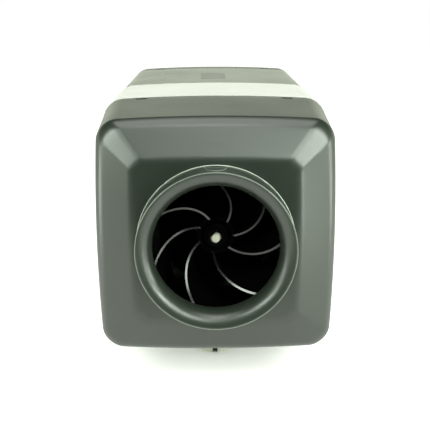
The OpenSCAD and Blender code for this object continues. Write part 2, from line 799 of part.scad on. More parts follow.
// Mounting foot with the pedestal that carries the heat exchanger
fuel_x = 22;
module at_fuel_pipe() {
    translate([fuel_x, exchanger_front_y + exchanger_flange_t + 7, foot_h]) children();
}
module foot_plate() {
    corner = 8;
    for (sx = [-1, 1], sy = [-1, 1])
        translate([sx * (foot_w / 2 - corner), sy * (foot_len / 2 - corner), 0])
            cylinder(h = foot_h, r = corner);
    translate([-foot_w / 2, corner - foot_len / 2, 0]) cube([foot_w, foot_len - 2 * corner, foot_h]);
    translate([corner - foot_w / 2, -foot_len / 2, 0]) cube([foot_w - 2 * corner, foot_len, foot_h]);
}
module mounting_foot() {
    color([0.60, 0.61, 0.60]) difference() {
        union() {
            foot_plate();
            translate([-pedestal_w / 2, pedestal_front, 0])
                cube([pedestal_w, pedestal_back - pedestal_front, axis_z - core_r + 12]);
        }
        rod(exchanger_front_y - 40, exchanger_back_y + 40, core_r);
        translate([0, 0, -1]) for (y = [intake_y, exhaust_y])
            translate([0, y, 0]) cylinder(h = axis_z, r = spigot_r);
        at_fuel_pipe() translate([0, 0, -foot_h - 1]) cylinder(h = axis_z, r = fuel_spigot_r);
        at_studs() translate([0, 0, -1]) cylinder(h = foot_h + 2, r = stud_seat_r);
    }
}
module at_studs() {
    for (sx = [-1, 1], sy = [-1, 1]) translate([sx * stud_pitch_x / 2, sy * stud_pitch_y / 2, 0])
        children();
}
module foot_studs() {
    color([0.72, 0.72, 0.68]) at_studs() {
        translate([0, 0, -stud_len]) cylinder(h = stud_len + foot_h, r = stud_r);
        cylinder(h = foot_h, r = stud_seat_r);
    }
}

// Pipes under the foot, each with a notch in its front lower edge
module pipe(y, top_z) {
    translate([0, y, 0]) difference() {
        union() {
            translate([0, 0, -pipe_len]) cylinder(h = pipe_len + 1, r = pipe_r);
            cylinder(h = top_z, r = spigot_r);
        }
        translate([0, 0, -pipe_len - 1]) cylinder(h = pipe_len + top_z + 2, r = pipe_bore);
        translate([-notch_w / 2, -pipe_r - 1, -pipe_len - 1]) cube([notch_w, pipe_r, notch_h + 1]);
    }
}
module combustion_air_pipe() {
    color([0.66, 0.66, 0.61]) pipe(intake_y, axis_z - blower_r);
}
module exhaust_pipe() {
    color([0.66, 0.66, 0.61]) difference() {
        pipe(exhaust_y, axis_z - sqrt(pow(core_r, 2) - pow(spigot_r, 2)) + core_wall);
        rod(exhaust_y - pipe_r - 1, exhaust_y + pipe_r + 1, core_r - core_wall);
    }
}
module fuel_pipe() {
    color([0.74, 0.74, 0.72]) difference() {
        at_fuel_pipe() translate([0, 0, -foot_h - fuel_len]) difference() {
            union() {
                cylinder(h = fuel_len + 1, r = fuel_r);
                translate([0, 0, fuel_len]) cylinder(h = axis_z / 2, r = fuel_spigot_r);
            }
            translate([0, 0, -1]) cylinder(h = fuel_len + axis_z, r = fuel_r - 1);
        }
        rod(exchanger_front_y, exchanger_back_y, core_r - core_wall);
    }
}

// Control unit above the motor, on a bracket that is screwed to the motor's end plate
bracket_t = 2;
bracket_z = axis_z + plate_screw_place + 4;
control_y = motor_back_y - 1 - control_len;
control_top_z = axis_z + half_h - tongue_inset - tongue_t - control_gap;
control_h = control_top_z - bracket_z - bracket_t;
tie_w = 24;
control_screw_r = 1.5;
control_screw_in = 5;
control_screw_bite = control_h * 0.4;
module at_control_screws(z) {
    for (sx = [-1, 1]) translate([sx * (control_w / 2 - control_screw_in), control_y + control_len / 2, z])
        children();
}
module control_bracket() {
    color([0.62, 0.62, 0.60]) difference() {
        union() {
            translate([-control_w / 2, control_y, bracket_z]) cube([control_w, control_len, bracket_t]);
            translate([-tie_w / 2, control_y, bracket_z])
                cube([tie_w, blower_front_y - control_y, bracket_t]);
        }
        at_control_screws(bracket_z - 1) cylinder(h = bracket_t + 2, r = control_screw_r);
    }
}
plug_w = 20;
plug_h = control_h / 2;
plug_gap = 4;
plug_wall = 1;
plug_deep = 6;
module control_unit() {
    rim = 3;
    color([0.09, 0.10, 0.11]) difference() {
        translate([-control_w / 2, control_y, bracket_z + bracket_t]) {
            cube([control_w, control_len, control_h - rim]);
            translate([rim, rim, 0]) cube([control_w - 2 * rim, control_len - 2 * rim, control_h]);
        }
        at_control_screws(bracket_z) cylinder(h = bracket_t + control_screw_bite + 2, r = control_screw_r);
        for (sx = [-1, 1]) translate([sx * (plug_w + plug_gap) / 2 - plug_w / 2 + plug_wall,
            control_y + control_len - plug_deep, bracket_z + bracket_t + plug_h / 4])
            cube([plug_w - 2 * plug_wall, plug_deep + 1, plug_h - 2 * plug_wall]);
    }
}
module control_screws() {
    head = 1.8;
    color([0.70, 0.70, 0.68]) at_control_screws(bracket_z - head) {
        cylinder(h = head, r = 2 * control_screw_r);
        cylinder(h = head + bracket_t + control_screw_bite, r = control_screw_r);
    }
}

// Overheat sensor and its spring clip on top of the heat exchanger
sensor_w = 9;
sensor_len = 20;
sensor_h = 5;
sensor_y = fin_front_y + 34;
module overheat_sensor() {
    color([0.13, 0.13, 0.14]) difference() {
        translate([-sensor_w / 2, sensor_y, axis_z + core_r - 2]) cube([sensor_w, sensor_len, sensor_h + 2]);
        rod(exchanger_front_y, exchanger_back_y, core_r);
    }
}
module sensor_clip() {
    clip_t = 0.8;
    clip_len = 8;
    leg_out = sensor_w / 2 + clip_t;
    color([0.75, 0.75, 0.73]) difference() {
        translate([-leg_out, sensor_y + sensor_len / 2 - clip_len / 2, axis_z + core_r - 2])
            cube([2 * leg_out, clip_len, sensor_h + clip_t + 2]);
        translate([-sensor_w / 2, sensor_y, axis_z + core_r - 3]) cube([sensor_w, sensor_len, sensor_h + 3]);
        rod(exchanger_front_y, exchanger_back_y, core_r);
    }
}

// Rubber grommet for the cable loom, its flange outside the jacket
module cable_grommet() {
    flange_t = 1;
    color([0.10, 0.10, 0.10]) at_grommet() difference() {
        union() {
            translate([0, 0, -flange_t]) cylinder(h = flange_t, r = grommet_r + 2);
            cylinder(h = shell_wall + 4, r = grommet_r);
        }
        translate([0, 0, -2]) cylinder(h = 4, r = grommet_r - 3);
    }
}

inlet_hood();
outlet_hood();
upper_jacket();
lower_jacket();
info_band();
hot_air_fan();
fan_retainer();
motor_shaft();
motor_armature();
motor_windings();
combustion_impeller();
motor_can();
magnet_ring();
front_bearing();
rear_bearing();
motor_plate();
motor_screws();
blower_housing();
blower_cover();
blower_gasket();
flange_screws();
burner_tube();
evaporator_wick();
glow_plug();
heat_exchanger();
mounting_foot();
foot_studs();
combustion_air_pipe();
exhaust_pipe();
fuel_pipe();
control_bracket();
control_unit();
control_screws();
overheat_sensor();
sensor_clip();
cable_grommet();
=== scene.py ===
import math
import bpy
import bmesh
import numpy as np
from mathutils import Matrix, Vector


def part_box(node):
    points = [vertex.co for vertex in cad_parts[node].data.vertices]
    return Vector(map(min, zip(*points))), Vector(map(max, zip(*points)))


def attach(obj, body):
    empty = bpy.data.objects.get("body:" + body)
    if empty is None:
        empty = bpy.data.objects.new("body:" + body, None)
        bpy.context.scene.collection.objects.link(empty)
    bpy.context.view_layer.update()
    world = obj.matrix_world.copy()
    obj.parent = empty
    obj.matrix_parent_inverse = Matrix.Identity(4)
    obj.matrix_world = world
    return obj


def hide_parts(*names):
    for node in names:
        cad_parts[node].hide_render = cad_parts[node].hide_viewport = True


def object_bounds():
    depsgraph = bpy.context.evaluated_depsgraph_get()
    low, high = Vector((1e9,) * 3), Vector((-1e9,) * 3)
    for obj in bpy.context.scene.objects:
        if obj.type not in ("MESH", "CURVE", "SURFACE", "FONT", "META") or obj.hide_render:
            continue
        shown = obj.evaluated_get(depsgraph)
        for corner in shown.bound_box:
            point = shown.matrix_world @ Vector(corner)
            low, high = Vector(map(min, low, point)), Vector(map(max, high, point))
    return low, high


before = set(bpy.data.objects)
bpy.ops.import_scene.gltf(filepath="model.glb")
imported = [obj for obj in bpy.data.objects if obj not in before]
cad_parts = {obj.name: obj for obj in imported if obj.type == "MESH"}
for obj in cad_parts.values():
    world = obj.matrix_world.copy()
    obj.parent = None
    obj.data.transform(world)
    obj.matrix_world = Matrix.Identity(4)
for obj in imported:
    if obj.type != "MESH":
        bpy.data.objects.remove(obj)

# Looks of a cabin air heater: smooth moulded shells, fan wheel, white band, castings and pipes.
# Lengths in the settings are millimetres and become metres when a mesh is made.
mm = 0.001
cadBox = [list(map(float, corner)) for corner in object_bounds()]
print("frame loaded,", len(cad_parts), "nodes")


def boxOf(node):
    # lowest and highest corner of a CAD node in millimetres
    low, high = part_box(node)
    return np.array(low) / mm, np.array(high) / mm


def hexColour(code):
    # sRGB hex to linear colour
    part = np.array([int(code[i:i + 2], 16) for i in (1, 3, 5)]) / 255
    linear = np.where(part <= 0.04045, part / 12.92, ((part + 0.055) / 1.055) ** 2.4)
    return tuple(float(v) for v in linear) + (1.0,)


def addNode(tree, kind, inputs=None, **settings):
    # a node with its settings; an input that is a socket is linked, and any other is set
    node = tree.nodes.new(kind)
    for key, value in settings.items():
        setattr(node, key, value)
    for key, value in (inputs or {}).items():
        if isinstance(value, bpy.types.NodeSocket):
            tree.links.new(value, node.inputs[key])
        else:
            node.inputs[key].default_value = value
    return node


# Places, worked out from the CAD nodes
hoodLow, hoodHigh = boxOf("inlet_hood")
outletLow, outletHigh = boxOf("outlet_hood")
bandLow, bandHigh = boxOf("info_band")
fanBackY = float(boxOf("hot_air_fan")[1][1])
canLow, canHigh = boxOf("motor_can")
grommetLow, grommetHigh = boxOf("cable_grommet")
axisZ = float(canLow[2] + canHigh[2]) / 2
rimY = float(hoodLow[1])
seamY = float(hoodHigh[1])
outletSeamY = float(outletLow[1])
outletRimY = float(outletHigh[1])

shell = {
    "halfW": 60.0, "halfH": 60.5,   # half of the jacket's width and height
    "corner": 10.0, "crown": 2.0,   # corner radius, and how far each side bows out
    "wall": 2.2,
    "cornerSteps": 16, "sideSteps": 28,
}
hoodForm = {
    "deep": 9.6, "wide": 18.2,      # chamfer, along the axis and across it
    "edgeR": 8.6, "faceR": 10.0, "faceCorner": 6.0,   # soft edges of the chamfer, and the face's corners
    "collarR": 36.75, "collarLen": 15.4, "throatR": 29.3, "collarWall": 2.0,
    "root": 0.6, "rimEdge": 0.9, "seamEdge": 0.45,    # small rounds at the collar's root, rim and the seam
    "draft": 2.8,                   # how far the skirt narrows from the seam to the chamfer
    "mitreRound": 0.32,             # share of each chamfer corner that rounds into its flat mitre
    "mitreIn": 4,                   # the mitre is at its full width this far in from the edge
    "crownLoss": 0.6,               # share of the crown that is gone at the face
    "tightest": 1.5,                # smallest corner radius inside the wall
    "steps": {"seam": 4, "skirt": 14, "edge": 15, "chamfer": 6, "face": 10},   # points along the profile
}
faceY = rimY + hoodForm["collarLen"]
frontY = faceY + hoodForm["deep"]
rearY = outletRimY - hoodForm["collarLen"] - hoodForm["deep"]


# Finishes. Pattern sizes are real ones in millimetres; the grain is as coarse as it needs to be to show.
finishes = {
    # glass-filled nylon from a spark-eroded mould: satin, evenly matt, no sparkle
    "mouldedGlassFilledNylon": {"colour": "#2d342c", "patch": "#2a3129", "patchMm": 45, "rough": (0.29, 0.33),
                                "grainMm": 0.45, "grainDepth": 0.018, "ior": 1.50, "specular": 1.0},
    # the raised line that the mould's halves leave, coloured pale as a painted highlight along it
    "paleHighlightLine": {"colour": "#ced6ca", "patch": "#b9c1b5", "patchMm": 6, "rough": (0.30, 0.38),
                         "grainMm": 0.5, "grainDepth": 0.004, "ior": 1.5},
    # the same line on the rim and round the mark, less pale: a dimmer painted highlight
    "dimHighlightLine": {"colour": "#99a395", "patch": "#8f978b", "patchMm": 6, "rough": (0.30, 0.38),
                        "grainMm": 0.5, "grainDepth": 0.004, "ior": 1.5},
    # the same nylon on the long jacket, a little lighter from its own mould
    "mouldedNylonJacket": {"colour": "#565a55", "patch": "#525651", "patchMm": 60, "rough": (0.24, 0.28),
                           "grainMm": 0.45, "grainDepth": 0.012, "ior": 1.50},
    # white polyester film, printed side bare, soft gloss
    "whitePolyesterFilm": {"colour": "#f1f1ee", "patch": "#ecece8", "patchMm": 30, "rough": (0.30, 0.36),
                           "grainMm": 1.2, "grainDepth": 0.004, "ior": 1.5},
    # black nylon fan wheel, smoother than the hood
    "mouldedBlackNylon": {"colour": "#060606", "patch": "#050505", "patchMm": 20, "rough": (0.18, 0.22),
                          "grainMm": 0.6, "grainDepth": 0.006, "ior": 1.5, "specular": 1.0},
    # the hub, dull, blacker than the blades and with its reflection turned almost off: painted shade for the
    # deep throat
    "paintedShadeHub": {"colour": "#010101", "patch": "#020202", "patchMm": 8, "rough": (0.50, 0.60),
                      "grainMm": 0.5, "grainDepth": 0.006, "ior": 1.5, "specular": 0.03},
    # ground stainless shaft: fine rings across the axis, dull on the sawn end
    "groundStainlessSteel": {"colour": "#eeefdc", "patch": "#e0e1cf", "patchMm": 3, "rough": (0.48, 0.56),
                             "grainMm": 0.25, "grainDepth": 0.004, "metal": 1, "stretch": (1, 6, 1)},
    # spring steel with a black oiled skin: dark, small dull glints
    "oiledSpringSteel": {"colour": "#121213", "patch": "#0d0d0e", "patchMm": 4, "rough": (0.30, 0.42),
                         "grainMm": 0.3, "grainDepth": 0.005, "metal": 1},
    # stacked stampings: thin lines along the stack
    "laminatedSteel": {"colour": "#75757a", "patch": "#5b5b60", "patchMm": 1.2, "rough": (0.38, 0.55),
                       "grainMm": 0.5, "grainDepth": 0.02, "metal": 1, "stretch": (0.05, 2.4, 0.05)},
    # copper wire under clear enamel, laid side by side
    "enamelledCopperWire": {"colour": "#b5652f", "patch": "#8d4a20", "patchMm": 1.5, "rough": (0.22, 0.34),
                            "grainMm": 0.8, "grainDepth": 0.1, "metal": 1, "coat": 0.6},
    # deep-drawn sheet with bright zinc: spangled, a little blue
    "zincPlatedSheet": {"colour": "#a8abad", "patch": "#94989b", "patchMm": 6, "rough": (0.28, 0.40),
                        "grainMm": 0.5, "grainDepth": 0.006, "metal": 1},
    # pressed and fired ferrite: dark, dull and slightly porous
    "sinteredFerrite": {"colour": "#2b2b2d", "patch": "#222224", "patchMm": 5, "rough": (0.6, 0.75),
                        "grainMm": 0.4, "grainDepth": 0.02},
    # oil-soaked sintered bronze bush
    "sinteredBronze": {"colour": "#8a6f3e", "patch": "#6c552d", "patchMm": 2, "rough": (0.35, 0.5),
                       "grainMm": 0.3, "grainDepth": 0.02, "metal": 1},
    # die-cast aluminium: flow marks, faint orange peel, dull grey
    "dieCastAluminium": {"colour": "#c6c9c7", "patch": "#b2b5b3", "patchMm": 9, "rough": (0.42, 0.58),
                         "grainMm": 0.9, "grainDepth": 0.03, "metal": 1},
    # drawn tube left dull, lines along its length
    "drawnAluminiumTube": {"colour": "#dcdfce", "patch": "#cdd0be", "patchMm": 7, "rough": (0.44, 0.56),
                           "grainMm": 0.5, "grainDepth": 0.01, "metal": 1, "stretch": (3, 3, 0.12)},
    # inside of the pipes: dull near-black, much darker than the tube's outside
    "darkPipeBore": {"colour": "#0d0d0c", "patch": "#131210", "patchMm": 4, "rough": (0.6, 0.75),
                        "grainMm": 0.4, "grainDepth": 0.01},
    # zinc-plated steel screws and studs
    "zincPlatedScrew": {"colour": "#d8d8d0", "patch": "#c6c5ba", "patchMm": 2.5, "rough": (0.26, 0.40),
                        "grainMm": 0.3, "grainDepth": 0.006, "metal": 1},
    # graphite and fibre board: grey, felted edge
    "graphiteFibreBoard": {"colour": "#4a4844", "patch": "#38362f", "patchMm": 1.8, "rough": (0.75, 0.9),
                           "grainMm": 0.5, "grainDepth": 0.08},
    # stainless steel that has been hot: straw to blue patches
    "heatStainedStainless": {"colour": "#8d7a63", "patch": "#5c6474", "patchMm": 14, "rough": (0.30, 0.46),
                             "grainMm": 0.4, "grainDepth": 0.008, "metal": 1},
    # sintered fleece of metal fibres
    "metalFibreFleece": {"colour": "#77746c", "patch": "#4b4943", "patchMm": 0.9, "rough": (0.6, 0.8),
                         "grainMm": 0.35, "grainDepth": 0.15, "metal": 1},
    # black electronics housing, finely textured
    "mouldedControlHousing": {"colour": "#1d1f21", "patch": "#191b1c", "patchMm": 18, "rough": (0.42, 0.52),
                              "grainMm": 0.4, "grainDepth": 0.012, "ior": 1.5},
    # dark sensor body, heat-proof plastic
    "mouldedSensorBody": {"colour": "#2a2a2c", "patch": "#232325", "patchMm": 6, "rough": (0.4, 0.5),
                          "grainMm": 0.3, "grainDepth": 0.008, "ior": 1.5},
    # moulded rubber: deep matt black with a grey bloom
    "mouldedRubber": {"colour": "#1a1a1a", "patch": "#242423", "patchMm": 3, "rough": (0.62, 0.78),
                      "grainMm": 0.5, "grainDepth": 0.02, "ior": 1.52},
}


def makeFinish(name, look):
    # two close colours in soft patches, roughness that follows them, and a fine grain as bump
    material = bpy.data.materials.new(name)
    material.use_nodes = True
    tree = material.node_tree
    tree.nodes.clear()
    where = addNode(tree, "ShaderNodeTexCoord").outputs["Object"]
    stretch = look.get("stretch", (1, 1, 1))
    placed = addNode(tree, "ShaderNodeMapping", {"Vector": where, "Scale": stretch}).outputs[0]
    patch = addNode(tree, "ShaderNodeTexNoise", {
        "Vector": placed, "Scale": 1 / (look["patchMm"] * mm), "Detail": 3.0, "Roughness": 0.55})
    grain = addNode(tree, "ShaderNodeTexNoise", {
        "Vector": placed, "Scale": 1 / (look["grainMm"] * mm), "Detail": 2.0, "Roughness": 0.6})
    soft = addNode(tree, "ShaderNodeMapRange", {
        "Value": patch.outputs[0], "From Min": 0.35, "From Max": 0.65, "To Min": 0.0, "To Max": 1.0})
    colour = addNode(tree, "ShaderNodeMix", {
        0: soft.outputs[0], 6: hexColour(look["colour"]), 7: hexColour(look["patch"])}, data_type="RGBA")
    rough = addNode(tree, "ShaderNodeMapRange", {
        "Value": patch.outputs[0], "From Min": 0.3, "From Max": 0.7,
        "To Min": look["rough"][0], "To Max": look["rough"][1]})
    bump = addNode(tree, "ShaderNodeBump", {
        "Height": grain.outputs[0], "Distance": look["grainDepth"] * mm, "Strength": 1.0})
    surface = addNode(tree, "ShaderNodeBsdfPrincipled", {
        "Base Color": colour.outputs[2], "Roughness": rough.outputs[0], "Normal": bump.outputs[0],
        "Metallic": float(look.get("metal", 0)), "IOR": look.get("ior", 1.5),
        "Specular IOR Level": look.get("specular", 0.5),
        "Coat Weight": look.get("coat", 0.0), "Coat Roughness": 0.15})
    out = addNode(tree, "ShaderNodeOutputMaterial", {"Surface": surface.outputs[0]})
    out.is_active_output = True
    return material


materials = {name: makeFinish(name, look) for name, look in finishes.items()}
print("finishes made:", len(materials))

nodeFinish = {
    "inlet_hood": "mouldedGlassFilledNylon", "outlet_hood": "mouldedGlassFilledNylon",
    "upper_jacket": "mouldedNylonJacket", "lower_jacket": "mouldedNylonJacket",
    "info_band": "whitePolyesterFilm", "hot_air_fan": "mouldedBlackNylon",
    "fan_retainer": "oiledSpringSteel", "motor_shaft": "groundStainlessSteel",
    "motor_armature": "laminatedSteel", "motor_windings": "enamelledCopperWire",
    "combustion_impeller": "dieCastAluminium", "motor_can": "zincPlatedSheet",
    "magnet_ring": "sinteredFerrite", "front_bearing": "sinteredBronze", "rear_bearing": "sinteredBronze",
    "motor_plate": "dieCastAluminium", "motor_screws": "zincPlatedScrew",
    "blower_housing": "dieCastAluminium", "blower_cover": "dieCastAluminium",
    "blower_gasket": "graphiteFibreBoard", "flange_screws": "zincPlatedScrew",
    "burner_tube": "heatStainedStainless", "evaporator_wick": "metalFibreFleece",
    "glow_plug": "heatStainedStainless", "heat_exchanger": "dieCastAluminium",
    "mounting_foot": "dieCastAluminium", "foot_studs": "zincPlatedScrew",
    "combustion_air_pipe": "drawnAluminiumTube", "exhaust_pipe": "drawnAluminiumTube",
    "fuel_pipe": "groundStainlessSteel", "control_bracket": "zincPlatedSheet",
    "control_unit": "mouldedControlHousing", "control_screws": "zincPlatedScrew",
    "overheat_sensor": "mouldedSensorBody", "sensor_clip": "oiledSpringSteel",
    "cable_grommet": "mouldedRubber",
}
for node, finish in nodeFinish.items():
    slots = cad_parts[node].material_slots
    if not slots:
        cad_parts[node].data.materials.append(materials[finish])
    for place in slots:
        place.material = materials[finish]


def refinish(obj, finish, chosen):
    # faces picked by chosen(centres in mm, normals) get a further finish
    mesh = obj.data
    centres, normals = np.zeros((2, len(mesh.polygons) * 3))
    mesh.polygons.foreach_get("center", centres)
    mesh.polygons.foreach_get("normal", normals)
    matrix = np.array(obj.matrix_world)
    centres = (centres.reshape(-1, 3) @ matrix[:3, :3].T + matrix[:3, 3]) / mm
    picked = chosen(centres, normals.reshape(-1, 3) @ matrix[:3, :3].T)
    mesh.materials.append(materials[finish])
    slots = np.zeros(len(mesh.polygons), np.int32)
    mesh.polygons.foreach_get("material_index", slots)
    slots[picked] = len(mesh.materials) - 1
    mesh.polygons.foreach_set("material_index", slots)
    mesh.update()


def boreOf(node):
    # picks the faces that stand well inside a pipe's outer radius, apart from its ends
    low, high = boxOf(node)
    middle, reach = (low + high) / 2, (high[0] - low[0]) / 2
    skin, flatEnd = 0.7, 0.9
    return lambda at, normal: (np.hypot(at[:, 0] - middle[0], at[:, 1] - middle[1]) < reach - skin) & (
        np.abs(normal[:, 2]) < flatEnd)


for node in ("combustion_air_pipe", "exhaust_pipe"):
    refinish(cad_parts[node], "darkPipeBore", boreOf(node))
print("finishes set on", len(nodeFinish), "nodes")


def gridFaces(rows, columns, loopRows=False, loopColumns=True):
    # quads between neighbouring rows and columns of a grid of points
    r = np.arange(rows if loopRows else rows - 1)
    c = np.arange(columns if loopColumns else columns - 1)
    r, c = np.meshgrid(r, c, indexing="ij")
    down, along = (r + 1) % rows, (c + 1) % columns
    quads = [r * columns + c, r * columns + along, down * columns + along, down * columns + c]
    return np.stack(quads, -1).reshape(-1, 4)


def closedForm(name, points, faces):
    # object from closed surfaces: points in mm, doubles merged, faces turned outwards
    mesh = bpy.data.meshes.new(name)
    mesh.from_pydata((points * mm).tolist(), [], faces)
    form = bmesh.new()
    form.from_mesh(mesh)
    bmesh.ops.remove_doubles(form, verts=form.verts, dist=1e-6)
    bmesh.ops.dissolve_degenerate(form, edges=form.edges, dist=1e-7)
    bmesh.ops.recalc_face_normals(form, faces=form.faces)
    form.to_mesh(mesh)
    form.free()
    obj = bpy.data.objects.new(name, mesh)
    bpy.context.scene.collection.objects.link(obj)
    return obj


def makePiece(name, parts, finish, body, replaced, sharp=38):
    # one object from several sets of (points, faces), smooth apart from its sharp edges
    points = np.concatenate([points for points, faces in parts])
    starts = np.cumsum([0] + [len(points) for points, faces in parts]).tolist()
    shifted = [[start + i for i in face] for start, part in zip(starts, parts) for face in part[1]]
    obj = closedForm(name, points, shifted)
    finishPiece(obj, finish, sharp)
    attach(obj, body)
    if replaced:
        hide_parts(*replaced)
    return obj


def finishPiece(obj, finish, sharp):
    # one material all over, smooth faces, edges sharper than the angle kept crisp
    obj.data.materials.clear()
    obj.data.materials.append(materials[finish])
    obj.data.polygons.foreach_set("use_smooth", np.ones(len(obj.data.polygons), bool))
    obj.data.set_sharp_from_angle(angle=math.radians(sharp))
    obj.data.update()


def bake(obj):
    # the modifiers' result becomes the mesh
    graph = bpy.context.evaluated_depsgraph_get()
    done = bpy.data.meshes.new_from_object(obj.evaluated_get(graph))
    obj.modifiers.clear()
    obj.data = done


def cutWith(obj, parts, finish, sharp=38):
    # each closed set of (points, faces) is cut out of the object
    for points, faces in parts:
        cutter = closedForm("cutter", points, faces)
        modifier = obj.modifiers.new("cut", "BOOLEAN")
        modifier.operation, modifier.solver, modifier.object = "DIFFERENCE", "EXACT", cutter
        bake(obj)
        bpy.data.objects.remove(cutter)
    finishPiece(obj, finish, sharp)


def loftRows(rows, closed=True):
    # rows of points (row, column, xyz) to (points, faces); closed joins the last row to the first
    count, columns = rows.shape[:2]
    return rows.reshape(-1, 3), gridFaces(count, columns, loopRows=closed).tolist()


def capped(rows):
    # rings of points (row, column, xyz) to (points, faces), with a face across each end
    count, columns = rows.shape[:2]
    faces = gridFaces(count, columns).tolist()
    faces += [list(range(columns))[::-1], [(count - 1) * columns + i for i in range(columns)]]
    return rows.reshape(-1, 3), faces


def openSleeve(rows):
    # closed loops of points side by side to (points, faces), with a face across the first and the last
    count, width = rows.shape[:2]
    faces = gridFaces(count, width, loopRows=True, loopColumns=False).tolist()
    faces += [[i * width for i in range(count)], [i * width + width - 1 for i in range(count)][::-1]]
    return rows.reshape(-1, 3), faces


def block(low, high, edge=0.3):
    # box with rounded long edges: eight corner arcs round a rectangle, carried along Y
    low, high = np.array(low, float), np.array(high, float)
    turn = np.radians(np.arange(0, 360, 30) + 15)
    half, middle = (high - low) / 2, (high + low) / 2
    around = np.stack([np.cos(turn), np.sin(turn)], 1)
    corner = np.sign(around)
    ring = corner * np.maximum(half[[0, 2]] - edge, 0) + edge * around
    drawnIn, along = 0.2 * edge, 0.4 * edge   # the outer two of the four rings are drawn in a little
    rows = np.zeros((4, len(turn), 3))
    rows[..., [0, 2]] = ring - corner * np.array([drawnIn, 0, 0, drawnIn])[:, None, None]
    rows[..., 1] = np.array([-half[1], along - half[1], half[1] - along, half[1]])[:, None]
    return capped(rows + middle)


def plainBox(low, high):
    # box with sharp edges: one rectangle, at the lower and at the upper height
    low, high = np.array(low, float), np.array(high, float)
    x, y = np.array([low[0], high[0], high[0], low[0]]), np.array([low[1], low[1], high[1], high[1]])
    return prism(np.stack([x, y], 1), low[2], high[2])


def prism(outline, bottom, top):
    # flat outline of (x, y) carried straight up between two heights
    heights = np.array([bottom, top])[:, None] + np.zeros(len(outline))
    return capped(np.concatenate([np.broadcast_to(outline, (2, *outline.shape)), heights[..., None]], -1))


def turned(profile, steps):
    # closed profile of (radius, y) turned about the shaft's axis: x = r cos t, z = r sin t
    angle = np.arange(steps) * 2 * np.pi / steps
    radius, y = profile[:, :1], profile[:, 1:2]
    return loftRows(np.stack([radius * np.cos(angle), y + 0 * angle, axisZ + radius * np.sin(angle)], -1))


def sectionColumns(cornerSteps, sideSteps):
    # columns all round a rounded rectangle: the share of each half side, and the corner angle
    arc, run = np.arange(cornerSteps + 1) / cornerSteps, np.arange(1, sideSteps) / sideSteps
    signX, signZ = np.array([1, -1, -1, 1, 1]), np.array([1, 1, -1, -1, 1])
    shareX, shareZ = (np.concatenate([np.r_[0 * arc + sign[q], sign[q] + (sign[q + 1] - sign[q]) * run]
                                      for q in range(4)]) for sign in (signX, signZ))
    angle = np.concatenate([np.r_[q + arc, 0 * run + q + 1] for q in range(4)]) * np.pi / 2
    return shareX, shareZ, angle


def halfColumns(cornerSteps, sideSteps, lowest, side):
    # columns over the upper half, from the right lower edge to the left one; side -1 turns it down
    arc, run = np.arange(cornerSteps + 1) / cornerSteps, np.arange(1, sideSteps) / sideSteps
    rise = lowest + (1 - lowest) * np.arange(sideSteps) / sideSteps
    shareX = np.r_[0 * rise + 1, 0 * arc + 1, 1 - 2 * run, 0 * arc - 1, 0 * rise - 1]
    shareZ = np.r_[rise, 0 * arc + 1, 0 * run + 1, 0 * arc + 1, rise[::-1]]
    angle = np.r_[0 * rise, arc, 0 * run + 1, 1 + arc, 0 * rise + 2] * np.pi / 2
    return shareX, shareZ * side, angle * side


def cornerArc(angle, facet):
    # unit corner: the direction turns evenly (a quarter circle) or, with facet 1, quickly to 45 degrees,
    # stays there, and quickly on to 90; the point is the running sum of the direction
    fineSteps = 241
    u = np.linspace(0, 1, fineSteps)
    ease = lambda v: np.clip(v, 0, 1) ** 2 * (3 - 2 * np.clip(v, 0, 1))
    near = hoodForm["mitreRound"]
    flatTurn = (ease(u / near) + ease((u - 1 + near) / near)) / 2
    quarter = np.floor(angle / (np.pi / 2) + 1e-9)
    share = angle / (np.pi / 2) - quarter
    rows = []
    for f in np.atleast_1d(facet):
        heading = np.pi / 2 * ((1 - f) * u + f * flatTurn)
        middle = (heading[1:] + heading[:-1]) / 2
        across = 1 - np.r_[0, np.cumsum(np.sin(middle))] / np.sum(np.sin(middle))
        upward = np.r_[0, np.cumsum(np.cos(middle))] / np.sum(np.cos(middle))
        x, z = np.interp(share, u, across), np.interp(share, u, upward)
        c, s = np.round(np.cos(quarter * np.pi / 2)), np.round(np.sin(quarter * np.pi / 2))
        rows.append(np.stack([x * c - z * s, x * s + z * c], -1))
    return np.array(rows)


def section(columns, inset, corner, crown, facet=0):
    # x = shareX (a - r) + r cornerX, z likewise; then each side bows by crown (1 - (other / half)^2)
    shareX, shareZ, angle = columns
    arc = cornerArc(angle, np.zeros(np.shape(inset)) + facet)
    inset, corner, crown = (np.asarray(v, float)[..., None] for v in (inset, corner, crown))
    a = shell["halfW"] - crown - inset
    b = shell["halfH"] - crown - inset
    x = shareX * (a - corner) + corner * arc[..., 0]
    z = shareZ * (b - corner) + corner * arc[..., 1]
    bowX, bowZ = crown * (1 - (z / b) ** 2), crown * (1 - (x / a) ** 2)
    return np.stack([x + np.sign(x) * bowX, z + np.sign(z) * bowZ], -1)


def placed(flat, y):
    # flat points (row, column, xz) stood at heights about the axis and at each row's y
    y = np.asarray(y, float)[:, None] + np.zeros(flat.shape[:2])
    return np.stack([flat[..., 0], y, flat[..., 1] + axisZ], -1)


